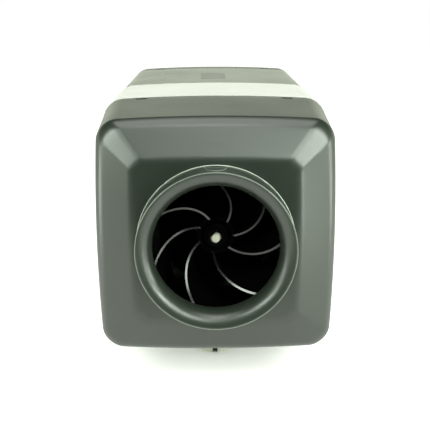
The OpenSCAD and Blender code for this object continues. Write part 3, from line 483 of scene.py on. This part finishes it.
def hoodProfile(skirt, draft):
    # (distance ahead of the chamfer's edge, inset): skirt, soft edge, chamfer, soft edge to the flat face
    lean = math.atan2(hoodForm["wide"], hoodForm["deep"])
    edgeRun = hoodForm["edgeR"] * math.tan(lean / 2)
    faceRun = hoodForm["faceR"] * math.tan((math.pi / 2 - lean) / 2)
    steps, edge = hoodForm["steps"], hoodForm["seamEdge"]
    first, second = np.linspace(0, lean, steps["edge"]), np.linspace(lean, math.pi / 2, steps["face"])
    turn = np.linspace(0, np.pi / 2, steps["seam"])
    start = np.stack([-skirt + edge - edge * np.cos(turn), edge - edge * np.sin(turn)], 1)
    run = np.linspace(-skirt + edge, -edgeRun, steps["skirt"])[1:]
    side = np.stack([run, 0 * run], 1)
    upper = np.stack([hoodForm["edgeR"] * np.sin(first) - edgeRun, hoodForm["edgeR"] * (1 - np.cos(first))], 1)
    lower = np.stack([hoodForm["deep"] - hoodForm["faceR"] * (1 - np.sin(second)),
                      hoodForm["wide"] + faceRun - hoodForm["faceR"] * np.cos(second)], 1)
    between = np.arange(1, steps["chamfer"])[:, None] / steps["chamfer"]
    flat = upper[-1] + (lower[0] - upper[-1]) * between
    line = np.concatenate([start, side, upper[1:], flat, lower])
    line[:, 1] += draft * np.clip((skirt + line[:, 0]) / (skirt - edgeRun), 0, 1)
    return line


def hoodRings(line, columns, wall):
    # corners tighten and the crown fades as the profile goes in towards the face
    share = np.clip(line[:, 1] / (hoodForm["wide"] + hoodForm["draft"]), 0, 1)
    corner = shell["corner"] * (1 - share) + hoodForm["faceCorner"] * share - wall
    corner = np.maximum(corner, hoodForm["tightest"])
    mitre = np.clip((line[:, 1] - hoodForm["draft"]) / hoodForm["mitreIn"], 0, 1)
    crown = shell["crown"] * (1 - hoodForm["crownLoss"] * share)
    return section(columns, line[:, 1] + wall, corner, crown, mitre)


def circleRings(radii, outline):
    # circles whose columns stand at the same angles as the outline's
    angle = np.arctan2(outline[:, 1], outline[:, 0])
    return np.asarray(radii, float)[:, None, None] * np.stack([np.cos(angle), np.sin(angle)], -1)


def endHood(skirt, draft, bore):
    # closed shell as rows of rings: outside, collar, the given way through (radius, distance), inside
    columns = sectionColumns(shell["cornerSteps"], shell["sideSteps"])
    line = hoodProfile(skirt, draft)
    outside = hoodRings(line, columns, 0)
    rootR, collarR, deep = hoodForm["root"], hoodForm["collarR"], hoodForm["deep"]
    far, edge = deep + hoodForm["collarLen"], hoodForm["rimEdge"]
    turn = np.linspace(0, np.pi / 2, 6)
    rootRings = np.stack([collarR + rootR * (1 - np.sin(turn)), deep + rootR * (1 - np.cos(turn))], 1)
    tube = np.array([[collarR, deep + run] for run in (4, 8, 12)])   # rings along the plain collar
    rim = np.stack([collarR - edge + edge * np.cos(turn), far - edge + edge * np.sin(turn)], 1)
    blendTo = circleRings([collarR + rootR], outside[-1])
    share = np.array([0.25, 0.5, 0.75])[:, None, None]
    faceRings = outside[-1] + (blendTo - outside[-1]) * share
    turnedLine = np.concatenate([rootRings, tube, rim, bore])   # (radius, distance) of all that is round
    circles = circleRings(turnedLine[:, 0], outside[-1])
    insideLine = line[hoodForm["steps"]["seam"] - 1:][::-1]   # without the seam's soft edge
    inside = hoodRings(insideLine, columns, shell["wall"])
    backFace = inside[0] + (circles[-1] - inside[0]) * np.array([0.66, 0.33])[:, None, None]
    flat = np.concatenate([outside, faceRings, circles, backFace, inside])
    wall = shell["wall"]
    reach = np.concatenate([line[:, 0], [deep] * 3, turnedLine[:, 1], [deep - wall] * 2,
                            insideLine[:, 0] - wall])
    reach[-1] = -skirt
    return flat, reach


# Inlet hood: chamfered box front, rolled lip, throat, and the fan's shroud inside
inletHood = {"shroudIn": 32.1, "shroudOut": 48.9, "shroudPower": 1.25, "throatRun": 2.6,
             "shroudSteps": 18, "shroudOutside": 14,   # rings of the shroud, and how many its outside has
             "pocketW": 12.2, "pocketFrom": 1.4, "pocketLen": 6.2, "pocketDepth": 0.1,
             "stepIn": 1.9, "stepEnd": 0.6,            # how far the pocket's deeper floor stands in
             "markW": 10.2, "markLen": 12.4, "markDepth": 0.3}
latch = {"x": 38.0, "w": 6.0, "l": 3.0, "back": 3.6, "gap": 0.5, "edge": 0.25,
         "through": 6, "catchEdge": 0.2, "catchSunk": 0.6}   # the last is a share of the tongue's thickness
lipR = hoodForm["collarR"] - hoodForm["throatR"]
throatEnd = lipR + inletHood["throatRun"]
rimReach = hoodForm["deep"] + hoodForm["collarLen"]
lipTurn = np.linspace(math.acos(hoodForm["rimEdge"] / lipR), 0, 18)
lip = np.stack([hoodForm["collarR"] - lipR * np.cos(lipTurn), rimReach - lipR + lipR * np.sin(lipTurn)], 1)


def shroudAt(y):
    # shroud radius at a place along the axis: the throat's radius plus a power of the share behind it
    share = np.clip((y - rimY - throatEnd) / (fanBackY - rimY - throatEnd), 0, 1)
    flare = inletHood["shroudOut"] - inletHood["shroudIn"]
    return inletHood["shroudIn"] + flare * share ** inletHood["shroudPower"]


shroudY = np.linspace(rimY + throatEnd, fanBackY, inletHood["shroudSteps"])
shroudLine = np.stack([shroudAt(shroudY), frontY - shroudY], 1)
outer = shroudLine[::-1][:inletHood["shroudOutside"]] + [hoodForm["collarWall"], 0]
bore = np.concatenate([lip, [[hoodForm["throatR"], rimReach - throatEnd]], shroudLine, outer])
flat, reach = endHood(seamY - frontY, hoodForm["draft"], bore)
rows = placed(flat, frontY - reach)
inlet = makePiece("inletHoodShell", [loftRows(rows)], "mouldedGlassFilledNylon", "housing",
                  ["inlet_hood"])


def latchWindows(y):
    # four short slots through the skirt, two above and two below
    half = np.array([latch["w"] / 2, latch["l"] / 2, latch["through"]])
    spots = [np.array([x * latch["x"], y, axisZ + z * shell["halfH"]]) for x in (-1, 1) for z in (-1, 1)]
    return [block(spot - half, spot + half, latch["edge"]) for spot in spots]


cuts = latchWindows(seamY - latch["back"])

# stepped pocket on the chamfer, two boxes leaned with it, and a half-oval mark on top of the collar
lean = math.atan2(hoodForm["deep"], hoodForm["wide"])
clear = 2   # how far a cutter stands out of the surface
wide, depth = inletHood["pocketW"] / 2, inletHood["pocketDepth"]
start, end = inletHood["pocketFrom"], inletHood["pocketFrom"] + inletHood["pocketLen"]
narrow, endIn = wide - inletHood["stepIn"], inletHood["stepEnd"]
pockets = [plainBox((-wide, start, -depth / 2), (wide, end, clear)),
           plainBox((-narrow, start + endIn, -depth), (narrow, end - endIn, clear))]
foot = np.array([0, frontY - hoodForm["deep"], axisZ + shell["halfH"] - hoodForm["draft"] - hoodForm["wide"]])
up, out = np.array([0, math.sin(lean), math.cos(lean)]), np.array([0, -math.cos(lean), math.sin(lean)])
for points, faces in pockets:
    cuts.append((foot + points[:, :1] * [1, 0, 0] + points[:, 1:2] * up + points[:, 2:] * out, faces))


def markOutline(steps):
    # half oval of (x, y) that opens at the face and ends towards the rim
    turn = np.linspace(0, np.pi, steps)
    return np.stack([inletHood["markW"] / 2 * np.cos(turn), faceY - inletHood["markLen"] * np.sin(turn)], 1)


collarTop = axisZ + hoodForm["collarR"]
cuts.append(prism(markOutline(17), collarTop - inletHood["markDepth"], collarTop + clear))
cutWith(inlet, cuts, "mouldedGlassFilledNylon")


def bead(path, radius, closed):
    # round line of the given radius along a path of points, square to it at each point
    ahead = np.roll(path, -1, 0) - np.roll(path, 1, 0)
    if not closed:
        ahead[0], ahead[-1] = path[1] - path[0], path[-1] - path[-2]
    ahead /= np.linalg.norm(ahead, axis=1, keepdims=True)
    outward = path - [0, 0, axisZ]
    outward[:, 1] = 0
    outward -= ahead * np.sum(outward * ahead, 1, keepdims=True)
    outward /= np.linalg.norm(outward, axis=1, keepdims=True)
    sideways = np.cross(ahead, outward)
    turn = np.arange(8) * np.pi / 4
    ring = outward[:, None] * np.cos(turn)[:, None] + sideways[:, None] * np.sin(turn)[:, None]
    rows = path[:, None] + radius * ring
    return loftRows(rows) if closed else capped(rows)


# Witness lines of the mould, half sunk and coloured pale as painted highlights: how far each stands out from
# the collar and along from its place, and its radius
witness = {"root": (0.15, -0.2, 0.24), "rim": (-0.2, 0.25, 0.14)}


def ringBead(y, out, along, radius):
    # bead on a circle about the shaft's axis, at the collar's radius plus out
    around, reach = np.arange(144) * np.pi / 72, hoodForm["collarR"] + out
    path = np.stack([reach * np.cos(around), y + along + 0 * around, axisZ + reach * np.sin(around)], 1)
    return bead(path, radius, True)


outline = markOutline(33)
path = np.c_[outline, axisZ + np.sqrt(hoodForm["collarR"] ** 2 - outline[:, 0] ** 2)]
rootLine, rimLine = ringBead(faceY, *witness["root"]), ringBead(rimY, *witness["rim"])
markLine = bead(path, witness["rim"][2], False)
# the root line, the rim line and the mark's outline are coloured pale: painted highlights on the collar's
# edges
makePiece("collarRootLine", [rootLine], "paleHighlightLine", "housing", None)
makePiece("collarRimLine", [rimLine, markLine], "dimHighlightLine", "housing", None)
print("inlet hood", len(inlet.data.polygons), "faces")

# Outlet hood: short skirt and a plain duct collar
outletHood = {"boreEdge": 0.6, "lead": 6, "rootRun": 1}   # round of the bore's rim, and places of its rings
collarIn = hoodForm["collarR"] - hoodForm["collarWall"]
edge = outletHood["boreEdge"]
turnBack = np.linspace(0, np.pi / 2, 5)
plainBore = np.concatenate([
    np.stack([collarIn + edge - edge * np.sin(turnBack), rimReach - edge + edge * np.cos(turnBack)], 1),
    [[collarIn, rimReach - outletHood["lead"]], [collarIn, hoodForm["deep"] + outletHood["rootRun"]],
     [collarIn, hoodForm["deep"] - shell["wall"]]]])
flat, reach = endHood(rearY - outletSeamY, 0.0, plainBore)
outlet = makePiece("outletHoodShell", [loftRows(placed(flat, rearY + reach))], "mouldedGlassFilledNylon",
                   "housing", ["outlet_hood"])
cutWith(outlet, latchWindows(outletSeamY + latch["back"]), "mouldedGlassFilledNylon")
print("outlet hood", len(outlet.data.polygons), "faces")

# Jacket halves: constant section with a tongue at each end, grip ribs above, openings below
jacket = {"gap": 0.3, "lap": 0.5, "tongueLen": 7.0, "tongueT": 1.4, "endEdge": 0.4,
          "lengthSteps": 12, "ribs": 3, "ribW": 16, "ribT": 1.1, "ribH": 0.15, "ribSunk": 1, "ribEdge": 0.35,
          "ribPitch": 14.8, "ribFirst": 33,
          "bellyW": 66, "bellyGap": 3.0, "bellyBack": 61, "bellyRise": 12,
          "bellyUnder": -1, "bellyR": 2.0,                # opening for the foot
          "loomWall": 2, "loomOut": 2, "loomIn": 8}   # hole for the grommet: its edge, and the cutter's ends


def jacketHalf(side):
    # the section's half carried round a closed line of (y, inset), with the two long edges capped
    gap, lap = jacket["gap"], shell["wall"] + jacket["lap"]
    inner, e = lap + jacket["tongueT"], jacket["endEdge"]
    y0, y1 = seamY + gap, outletSeamY - gap
    t0, t1 = seamY - jacket["tongueLen"], outletSeamY + jacket["tongueLen"]
    turn = np.linspace(0, np.pi / 2, 4)
    run = np.linspace(y0 + e, y1 - e, jacket["lengthSteps"])[1:-1]
    line = np.concatenate([
        np.stack([y0 + e - e * np.cos(turn), e - e * np.sin(turn)], 1),
        np.stack([run, 0 * run], 1),
        np.stack([y1 - e + e * np.sin(turn), e - e * np.cos(turn)], 1),
        [[y1, lap], [t1, lap], [t1, inner], [t0, inner], [t0, lap], [y0, lap]]])
    reachZ = shell["halfH"] - shell["crown"] - shell["corner"]
    columns = halfColumns(shell["cornerSteps"], shell["sideSteps"] // 2, jacket["gap"] / 2 / reachZ, side)
    flat = section(columns, line[:, 1], shell["corner"] - line[:, 1], 0 * line[:, 1] + shell["crown"])
    return openSleeve(placed(flat, line[:, 0]))


def catches(sideZ):
    # small blocks on both tongues, each standing in a latch window just below the hood's face
    fall = shell["crown"] * (latch["x"] / (shell["halfW"] - shell["crown"])) ** 2
    top = fall + hoodForm["draft"] * latch["back"] / (seamY - frontY) + latch["gap"]
    foot = shell["wall"] + jacket["lap"] + fall + latch["catchSunk"] * jacket["tongueT"]
    half = np.array([latch["w"] / 2 - latch["gap"], latch["l"] / 2 - latch["gap"], (foot - top) / 2])
    spots = [np.array([x * latch["x"], y, axisZ + sideZ * (shell["halfH"] - (foot + top) / 2)])
             for x in (-1, 1) for y in (seamY - latch["back"], outletSeamY + latch["back"])]
    return [block(spot - half, spot + half, latch["catchEdge"]) for spot in spots]


def gripRib(index):
    # low bar across the jacket's top, the first one well behind the band
    y = bandHigh[1] + jacket["ribFirst"] + jacket["ribPitch"] * index
    top = axisZ + shell["halfH"]
    return block((-jacket["ribW"] / 2, y, top - jacket["ribSunk"]),
                 (jacket["ribW"] / 2, y + jacket["ribT"], top + jacket["ribH"]), jacket["ribEdge"])


ribs = [gripRib(index) for index in range(jacket["ribs"])]
upper = makePiece("upperJacketShell", [jacketHalf(1)] + catches(1) + ribs, "mouldedNylonJacket", "housing",
                  ["upper_jacket"])
lower = makePiece("lowerJacketShell", [jacketHalf(-1)] + catches(-1), "mouldedNylonJacket", "housing",
                  ["lower_jacket"])
print("jacket halves", len(upper.data.polygons), len(lower.data.polygons), "faces")
bellyFront = boxOf("combustion_air_pipe")[0][1] - jacket["bellyGap"]
belly = block((-jacket["bellyW"] / 2, bellyFront, jacket["bellyUnder"]),
              (jacket["bellyW"] / 2, jacket["bellyBack"], axisZ - shell["halfH"] + jacket["bellyRise"]),
              jacket["bellyR"])
holeR = (grommetHigh[2] - grommetLow[2]) / 2 - jacket["loomWall"]
grommetAt = (grommetLow + grommetHigh) / 2
turn = np.arange(40) * np.pi / 20
ring = np.stack([0 * turn, grommetAt[1] + holeR * np.cos(turn), grommetAt[2] + holeR * np.sin(turn)], -1)
ends = np.array([[-jacket["loomOut"], 0, 0], [jacket["loomIn"], 0, 0]]) - [shell["halfW"], 0, 0]
cutWith(lower, [belly, capped(ring + ends[:, None])], "mouldedNylonJacket")

# White band: a film laid over the jacket's top and down its sides
whiteBand = {"thick": 0.25, "steps": 9}
bandEdge = (bandLow[2] - axisZ) / (shell["halfH"] - shell["crown"] - shell["corner"])
columns = halfColumns(shell["cornerSteps"], shell["sideSteps"] // 2, bandEdge, 1)
front, behind, lift = bandLow[1], bandHigh[1], -whiteBand["thick"]
top = np.linspace(front, behind, whiteBand["steps"])
line = np.concatenate([[[front, 0]], np.stack([top, 0 * top + lift], 1), [[behind, 0]]])
flat = section(columns, line[:, 1], shell["corner"] - line[:, 1], 0 * line[:, 1] + shell["crown"])
band = makePiece("whiteBand", [openSleeve(placed(flat, line[:, 0]))], "whitePolyesterFilm", "housing",
                 ["info_band"])
print("band", len(band.data.polygons), "faces")

# Fan wheel: blades as a surface of span s and chord c, on a flared hub
fanWheel = {"offsets": (4.5, 2, -4, -1, 6.5, -4, -4),     # degrees off even spacing, so no single tone
            "bladeT": 1.5, "edgeT": 1.25, "edgeRound": 0.15, "edgeLean": 0.12, "tipGap": 0.9,
            "noseR": 7.0, "noseRound": 2.4, "hubBackR": 28.0, "hubPower": 1.3,
            "spiralStart": -61.8, "spiralRate": 1.383, "spiralGrowth": 0.016,   # degrees, by the radius
            "sweepBack": 0.8,                             # degrees for each millimetre behind the front edge
            "leadSet": 5.8, "leadBow": 0.0163, "rootSink": 1.2, "hubWall": 2.4,
            "hubLen": 15.0, "bossEdge": 0.6, "boreR": 2.52,
            "edgeRows": (0, 0.004, 0.012),                # shares of the chord that carry the edge's round
            "thickBy": 0.2, "leanFades": 12,              # share at full thickness, and how fast the lean goes
            "spans": 30, "chords": 14, "hubSteps": 24, "around": 96, "crispFrom": 18}
noseY = float(boxOf("fan_retainer")[1][1])
coneLen = fanBackY - noseY


def hubAt(y):
    # hub radius at a place along the axis: nose radius plus a power of the share behind the nose
    share = np.clip((y - noseY) / coneLen, 0, 1)
    return fanWheel["noseR"] + (fanWheel["hubBackR"] - fanWheel["noseR"]) * share ** fanWheel["hubPower"]


def tipAt(y):
    # blade tip radius: the shroud's radius there less the running gap
    return shroudAt(y) - fanWheel["tipGap"]


def leadAt(rho):
    # place of the leading edge along the axis: it bows forwards with the square of the radius
    return frontY + fanWheel["leadSet"] - fanWheel["leadBow"] * rho ** 2


rootRho = float(hubAt(leadAt(fanWheel["noseR"]))) - fanWheel["rootSink"]
leadTipR = inletHood["shroudIn"] - fanWheel["tipGap"]
for turnNumber in range(4):   # settles until the edge's outer end lies on the tip curve
    leadTipR = float(tipAt(leadAt(leadTipR)))


def bladeMid(s, c):
    # radius, place along the axis and angle of the blade's middle surface at span s and chord c
    f = fanWheel
    along = lambda front: front + (fanBackY - front) * c
    hubRho = hubAt(along(leadAt(rootRho))) - f["rootSink"]
    rho = hubRho + (tipAt(along(leadAt(leadTipR))) - hubRho) * s
    y = along(leadAt(rootRho + (leadTipR - rootRho) * s))
    spiral = f["spiralStart"] + f["spiralRate"] * rho + f["spiralGrowth"] * rho ** 2
    return rho, y, np.radians(spiral + f["sweepBack"] * (y - leadAt(rho)))


def bladeShell(turnBy):
    # both faces of one blade round a closed line: front edge with small rounds and a slight lean, and a
    # thickness that grows from the edge's to the blade's
    f = fanWheel
    chord = np.r_[f["edgeRows"], (1 - np.cos(np.linspace(0, np.pi, f["chords"])[1:])) / 2]
    span = np.linspace(0, 1, f["spans"] + 1)[:, None]
    rho, y, angle = bladeMid(span, chord[None, :])
    thick = f["edgeT"] + (f["bladeT"] - f["edgeT"]) * np.minimum(1, chord / f["thickBy"])
    drop = np.r_[f["edgeRound"], f["edgeRound"] * 0.3, np.zeros(len(chord) - 2)]   # rounds at the front edge
    slope = rho * np.radians(f["spiralRate"] + 2 * f["spiralGrowth"] * rho)
    half = (thick / 2 - drop) * np.sqrt(1 + slope ** 2) / rho
    lean = f["edgeLean"] * np.exp(-chord * f["leanFades"])
    sides = []
    for side in (1, -1):
        a = angle + side * half + turnBy
        sides.append(np.stack([rho * np.cos(a), y - side * lean, axisZ + rho * np.sin(a)], -1))
    rows = np.concatenate([sides[0], sides[1][:, ::-1]], 1)
    count, width = rows.shape[:2]
    faces = gridFaces(count, width).tolist()
    for row in (0, count - 1):   # strips across the root and the tip
        base = row * width
        faces += [[base + k, base + k + 1, base + width - 2 - k, base + width - 1 - k]
                  for k in range(width // 2 - 1)]
    return rows.reshape(-1, 3), faces


def hubOutline():
    # (radius, y) from the bore over the rounded nose and the flare, back under it to the rear boss
    f, noseRound = fanWheel, fanWheel["noseRound"]
    share = np.linspace(0, 1, f["hubSteps"])
    flare = np.stack([hubAt(noseY + coneLen * share), noseY + coneLen * share], 1)
    under = flare + np.stack([0 * share - f["hubWall"], 2 * f["hubWall"] * (1 - share)], 1)
    turn = np.linspace(0, np.pi / 2, 9)
    nose = np.stack([f["noseR"] - noseRound * (1 - np.sin(turn)), noseY + noseRound * (1 - np.cos(turn))], 1)
    bossEnd = noseY + f["hubLen"]
    boss = [[f["noseR"] - f["bossEdge"], bossEnd], [f["boreR"], bossEnd]]
    return np.concatenate([[[f["boreR"], noseY]], nose, flare[flare[:, 1] > noseY + noseRound],
                           under[::-1][:-3], boss])


turns = [math.radians(offset) - 2 * math.pi / len(fanWheel["offsets"]) * k
         for k, offset in enumerate(fanWheel["offsets"])]
wheel = [turned(hubOutline(), fanWheel["around"])] + [bladeShell(turnBy) for turnBy in turns]
fan = makePiece("hotAirFanWheel", wheel, "mouldedBlackNylon", "rotor", ["hot_air_fan"],
                fanWheel["crispFrom"])
hubSkin = 0.2   # the hub's faces, which are duller than the blades, lie within this of its outline
# the hub's faces get the blacker, almost reflectionless finish: painted shade of the deep throat
refinish(fan, "paintedShadeHub",
         lambda at, normal: np.hypot(at[:, 0], at[:, 2] - axisZ) < hubAt(at[:, 1]) + hubSkin)
print("fan wheel", len(fan.data.polygons), "faces")

# White table at the pipes' ends. It glows for what looks at it, and the glow is dimmed where something stands
# close above it: a painted shadow, also in gloss.
stage = {"reach": 3.0, "front": -0.42,    # metres; the table ends in front of the object
         "floorColour": "#d8d8d6", "glow": 1.06, "glowTint": (0.985, 1.0, 0.95, 1.0),
         "mirrored": 0.45,                # share of the glow that shows in gloss
         "shadowReach": 0.041, "shadowSteepness": 2.4}   # how near a thing dims the glow, and how steeply
floorZ, wide = cadBox[0][2], stage["reach"]
floorMesh = bpy.data.meshes.new("floor")
floorMesh.from_pydata([(-wide, stage["front"], floorZ), (wide, stage["front"], floorZ),
                       (wide, wide, floorZ), (-wide, wide, floorZ)], [], [[0, 1, 2, 3]])
floor = bpy.data.objects.new("floor", floorMesh)
bpy.context.scene.collection.objects.link(floor)
paper = bpy.data.materials.new("paleTableTop")
paper.use_nodes = True
tree = paper.node_tree
tree.nodes.clear()
diffuse = addNode(tree, "ShaderNodeBsdfDiffuse", {"Color": hexColour(stage["floorColour"])})
rays = addNode(tree, "ShaderNodeLightPath")
mirrored = addNode(tree, "ShaderNodeMath", {
    0: rays.outputs["Is Glossy Ray"], 1: stage["mirrored"]}, operation="MULTIPLY")
seen = addNode(tree, "ShaderNodeMath", {
    0: rays.outputs["Is Camera Ray"], 1: mirrored.outputs[0]}, operation="MAXIMUM")
# ambient occlusion darkens the glow near things above it: painted shadow
clearAbove = addNode(tree, "ShaderNodeAmbientOcclusion", {"Distance": stage["shadowReach"]}, samples=12)
shade = addNode(tree, "ShaderNodeMath", {
    0: clearAbove.outputs["AO"], 1: stage["shadowSteepness"]}, operation="POWER")
shaded = addNode(tree, "ShaderNodeMath", {0: seen.outputs[0], 1: shade.outputs[0]}, operation="MULTIPLY")
lit = addNode(tree, "ShaderNodeMath", {0: shaded.outputs[0], 1: stage["glow"]}, operation="MULTIPLY")
glow = addNode(tree, "ShaderNodeEmission", {"Color": stage["glowTint"], "Strength": lit.outputs[0]})
both = addNode(tree, "ShaderNodeAddShader", {0: diffuse.outputs[0], 1: glow.outputs[0]})
addNode(tree, "ShaderNodeOutputMaterial", {"Surface": both.outputs[0]})
floorMesh.materials.append(paper)

# White room to the eye. As light it is dim in front and above, and bright low down behind the object.
room = {"behind": 1.1, "overhead": 0.0, "front": 0.0, "tint": (0.98, 1.06, 0.86, 1),
        "frontEnds": -0.75, "behindStarts": 0.05,    # along Y of the direction looked in
        "lowEnds": 0.1, "highStarts": 0.5}           # along Z of it
world = bpy.data.worlds.new("paleRoom")
bpy.context.scene.world = world
world.use_nodes = True
tree = world.node_tree
tree.nodes.clear()
rays = addNode(tree, "ShaderNodeLightPath")
lookAt = addNode(tree, "ShaderNodeTexCoord")
direction = addNode(tree, "ShaderNodeSeparateXYZ", {0: lookAt.outputs["Generated"]})
turnBack = addNode(tree, "ShaderNodeMapRange", {
    "Value": direction.outputs[1], "From Min": room["frontEnds"], "From Max": room["behindStarts"],
    "To Min": room["front"], "To Max": room["behind"]}, interpolation_type="SMOOTHSTEP")
height = addNode(tree, "ShaderNodeMapRange", {
    "Value": direction.outputs[2], "From Min": room["lowEnds"], "From Max": room["highStarts"],
    "To Min": 0.0, "To Max": 1.0}, interpolation_type="SMOOTHSTEP")
around = addNode(tree, "ShaderNodeMix", {0: height.outputs[0], 2: turnBack.outputs[0], 3: room["overhead"]})
strength = addNode(tree, "ShaderNodeMix", {0: rays.outputs["Is Camera Ray"], 2: around.outputs[0], 3: 1.0})
colour = addNode(tree, "ShaderNodeMix", {
    0: rays.outputs["Is Camera Ray"], 6: room["tint"], 7: (1, 1, 1, 1)}, data_type="RGBA")
back = addNode(tree, "ShaderNodeBackground", {"Color": colour.outputs[2], "Strength": strength.outputs[0]})
addNode(tree, "ShaderNodeOutputWorld", {"Surface": back.outputs[0]})

# Soft boxes round the inlet: azimuth from the front and elevation in degrees, distance and side in metres,
# and brightness before the common level. They are a little greener than the ceiling.
lamps = {
    "keyLeft": (-50, 29, 1.1, 0.3, 17.0),
    "keyLeftLow": (-50, 16, 1.1, 0.3, 11.7),
    "keyRight": (50, 29, 1.1, 0.3, 11.6),
    "keyRightLow": (50, 16, 1.1, 0.3, 23.5),
    "keyRightIn": (36, 29, 1.1, 0.3, 9.0),
    "sideRight": (76, 4, 1.1, 0.3, 13.5),
    "sideLeft": (-68, 3, 1.1, 0.3, 8.6),
    "topFront": (0, 62, 1.1, 0.3, 8.4),
    "topFrontLow": (0, 43, 1.1, 0.3, 4.4),
    "topRight": (23, 38, 1.1, 0.34, 13.0),
    "overhead": (0, 89.9, 1.4, 1.2, 4.0),
    "behindTop": (180, 60, 1.1, 0.4, 1.7),
    "tableRight": (90, -7.6, 0.5, 0.12, 10.0),
    "tableRightIn": (54, -8, 0.47, 0.12, 11.3),
    "tableLeft": (-90, -7.6, 0.5, 0.12, 11.8),
    "stripLow": (-33, 37, 1.1, 0.13, 20.0),
    "stripHigh": (-31, 45, 1.1, 0.13, 20.0),
}
lampLook = {"level": 0.56, "tint": (0.90, 1.0, 0.89), "ceilingTint": (0.97, 1.0, 0.95), "ceilingFrom": 50}
aim = Vector((0, frontY * mm, axisZ * mm))
for name, (azimuth, elevation, far, side, radiance) in lamps.items():
    light = bpy.data.lights.new(name, "AREA")
    light.shape, light.size = "SQUARE", side
    light.color = lampLook["ceilingTint" if elevation > lampLook["ceilingFrom"] else "tint"]
    light.energy = lampLook["level"] * radiance * math.pi * side ** 2   # watts from the wanted brightness
    a, e = math.radians(azimuth), math.radians(elevation)
    back = Vector((math.sin(a) * math.cos(e), -math.cos(a) * math.cos(e), math.sin(e)))
    holder = bpy.data.objects.new(name, light)
    holder.location = aim + back * far
    holder.rotation_mode = "QUATERNION"
    holder.rotation_quaternion = (-back).to_track_quat("-Z", "Y")
    holder.visible_camera = False
    bpy.context.scene.collection.objects.link(holder)

# Camera: millimetres ahead of the chamfer's edge, above and beside the axis, then degrees, then its lens.
view = {"ahead": 391.2, "above": 110.7, "aside": -3.1,
        "down": 14.27, "turn": 0.40, "roll": -0.24, "lens": 71.67}
down, turnTo, roll = (math.radians(view[k]) for k in ("down", "turn", "roll"))
forward = Vector((math.sin(turnTo) * math.cos(down), math.cos(turnTo) * math.cos(down), -math.sin(down)))
right = Vector((math.cos(turnTo), -math.sin(turnTo), 0))
up = right.cross(forward)
right, up = right * math.cos(roll) + up * math.sin(roll), up * math.cos(roll) - right * math.sin(roll)
camera = bpy.data.objects.new("camera", bpy.data.cameras.new("camera"))
camera.data.sensor_width, camera.data.lens = 36, view["lens"]
camera.data.clip_start, camera.data.clip_end = 0.01, 20
stand = Vector((view["aside"], frontY - view["ahead"], axisZ + view["above"])) * mm
camera.matrix_world = Matrix.Translation(stand) @ Matrix((right, up, -forward)).transposed().to_4x4()
bpy.context.scene.collection.objects.link(camera)
bpy.context.scene.camera = camera
bpy.context.scene.view_settings.view_transform = "Standard"
print("table, room,", len(lamps), "lamps and camera set")
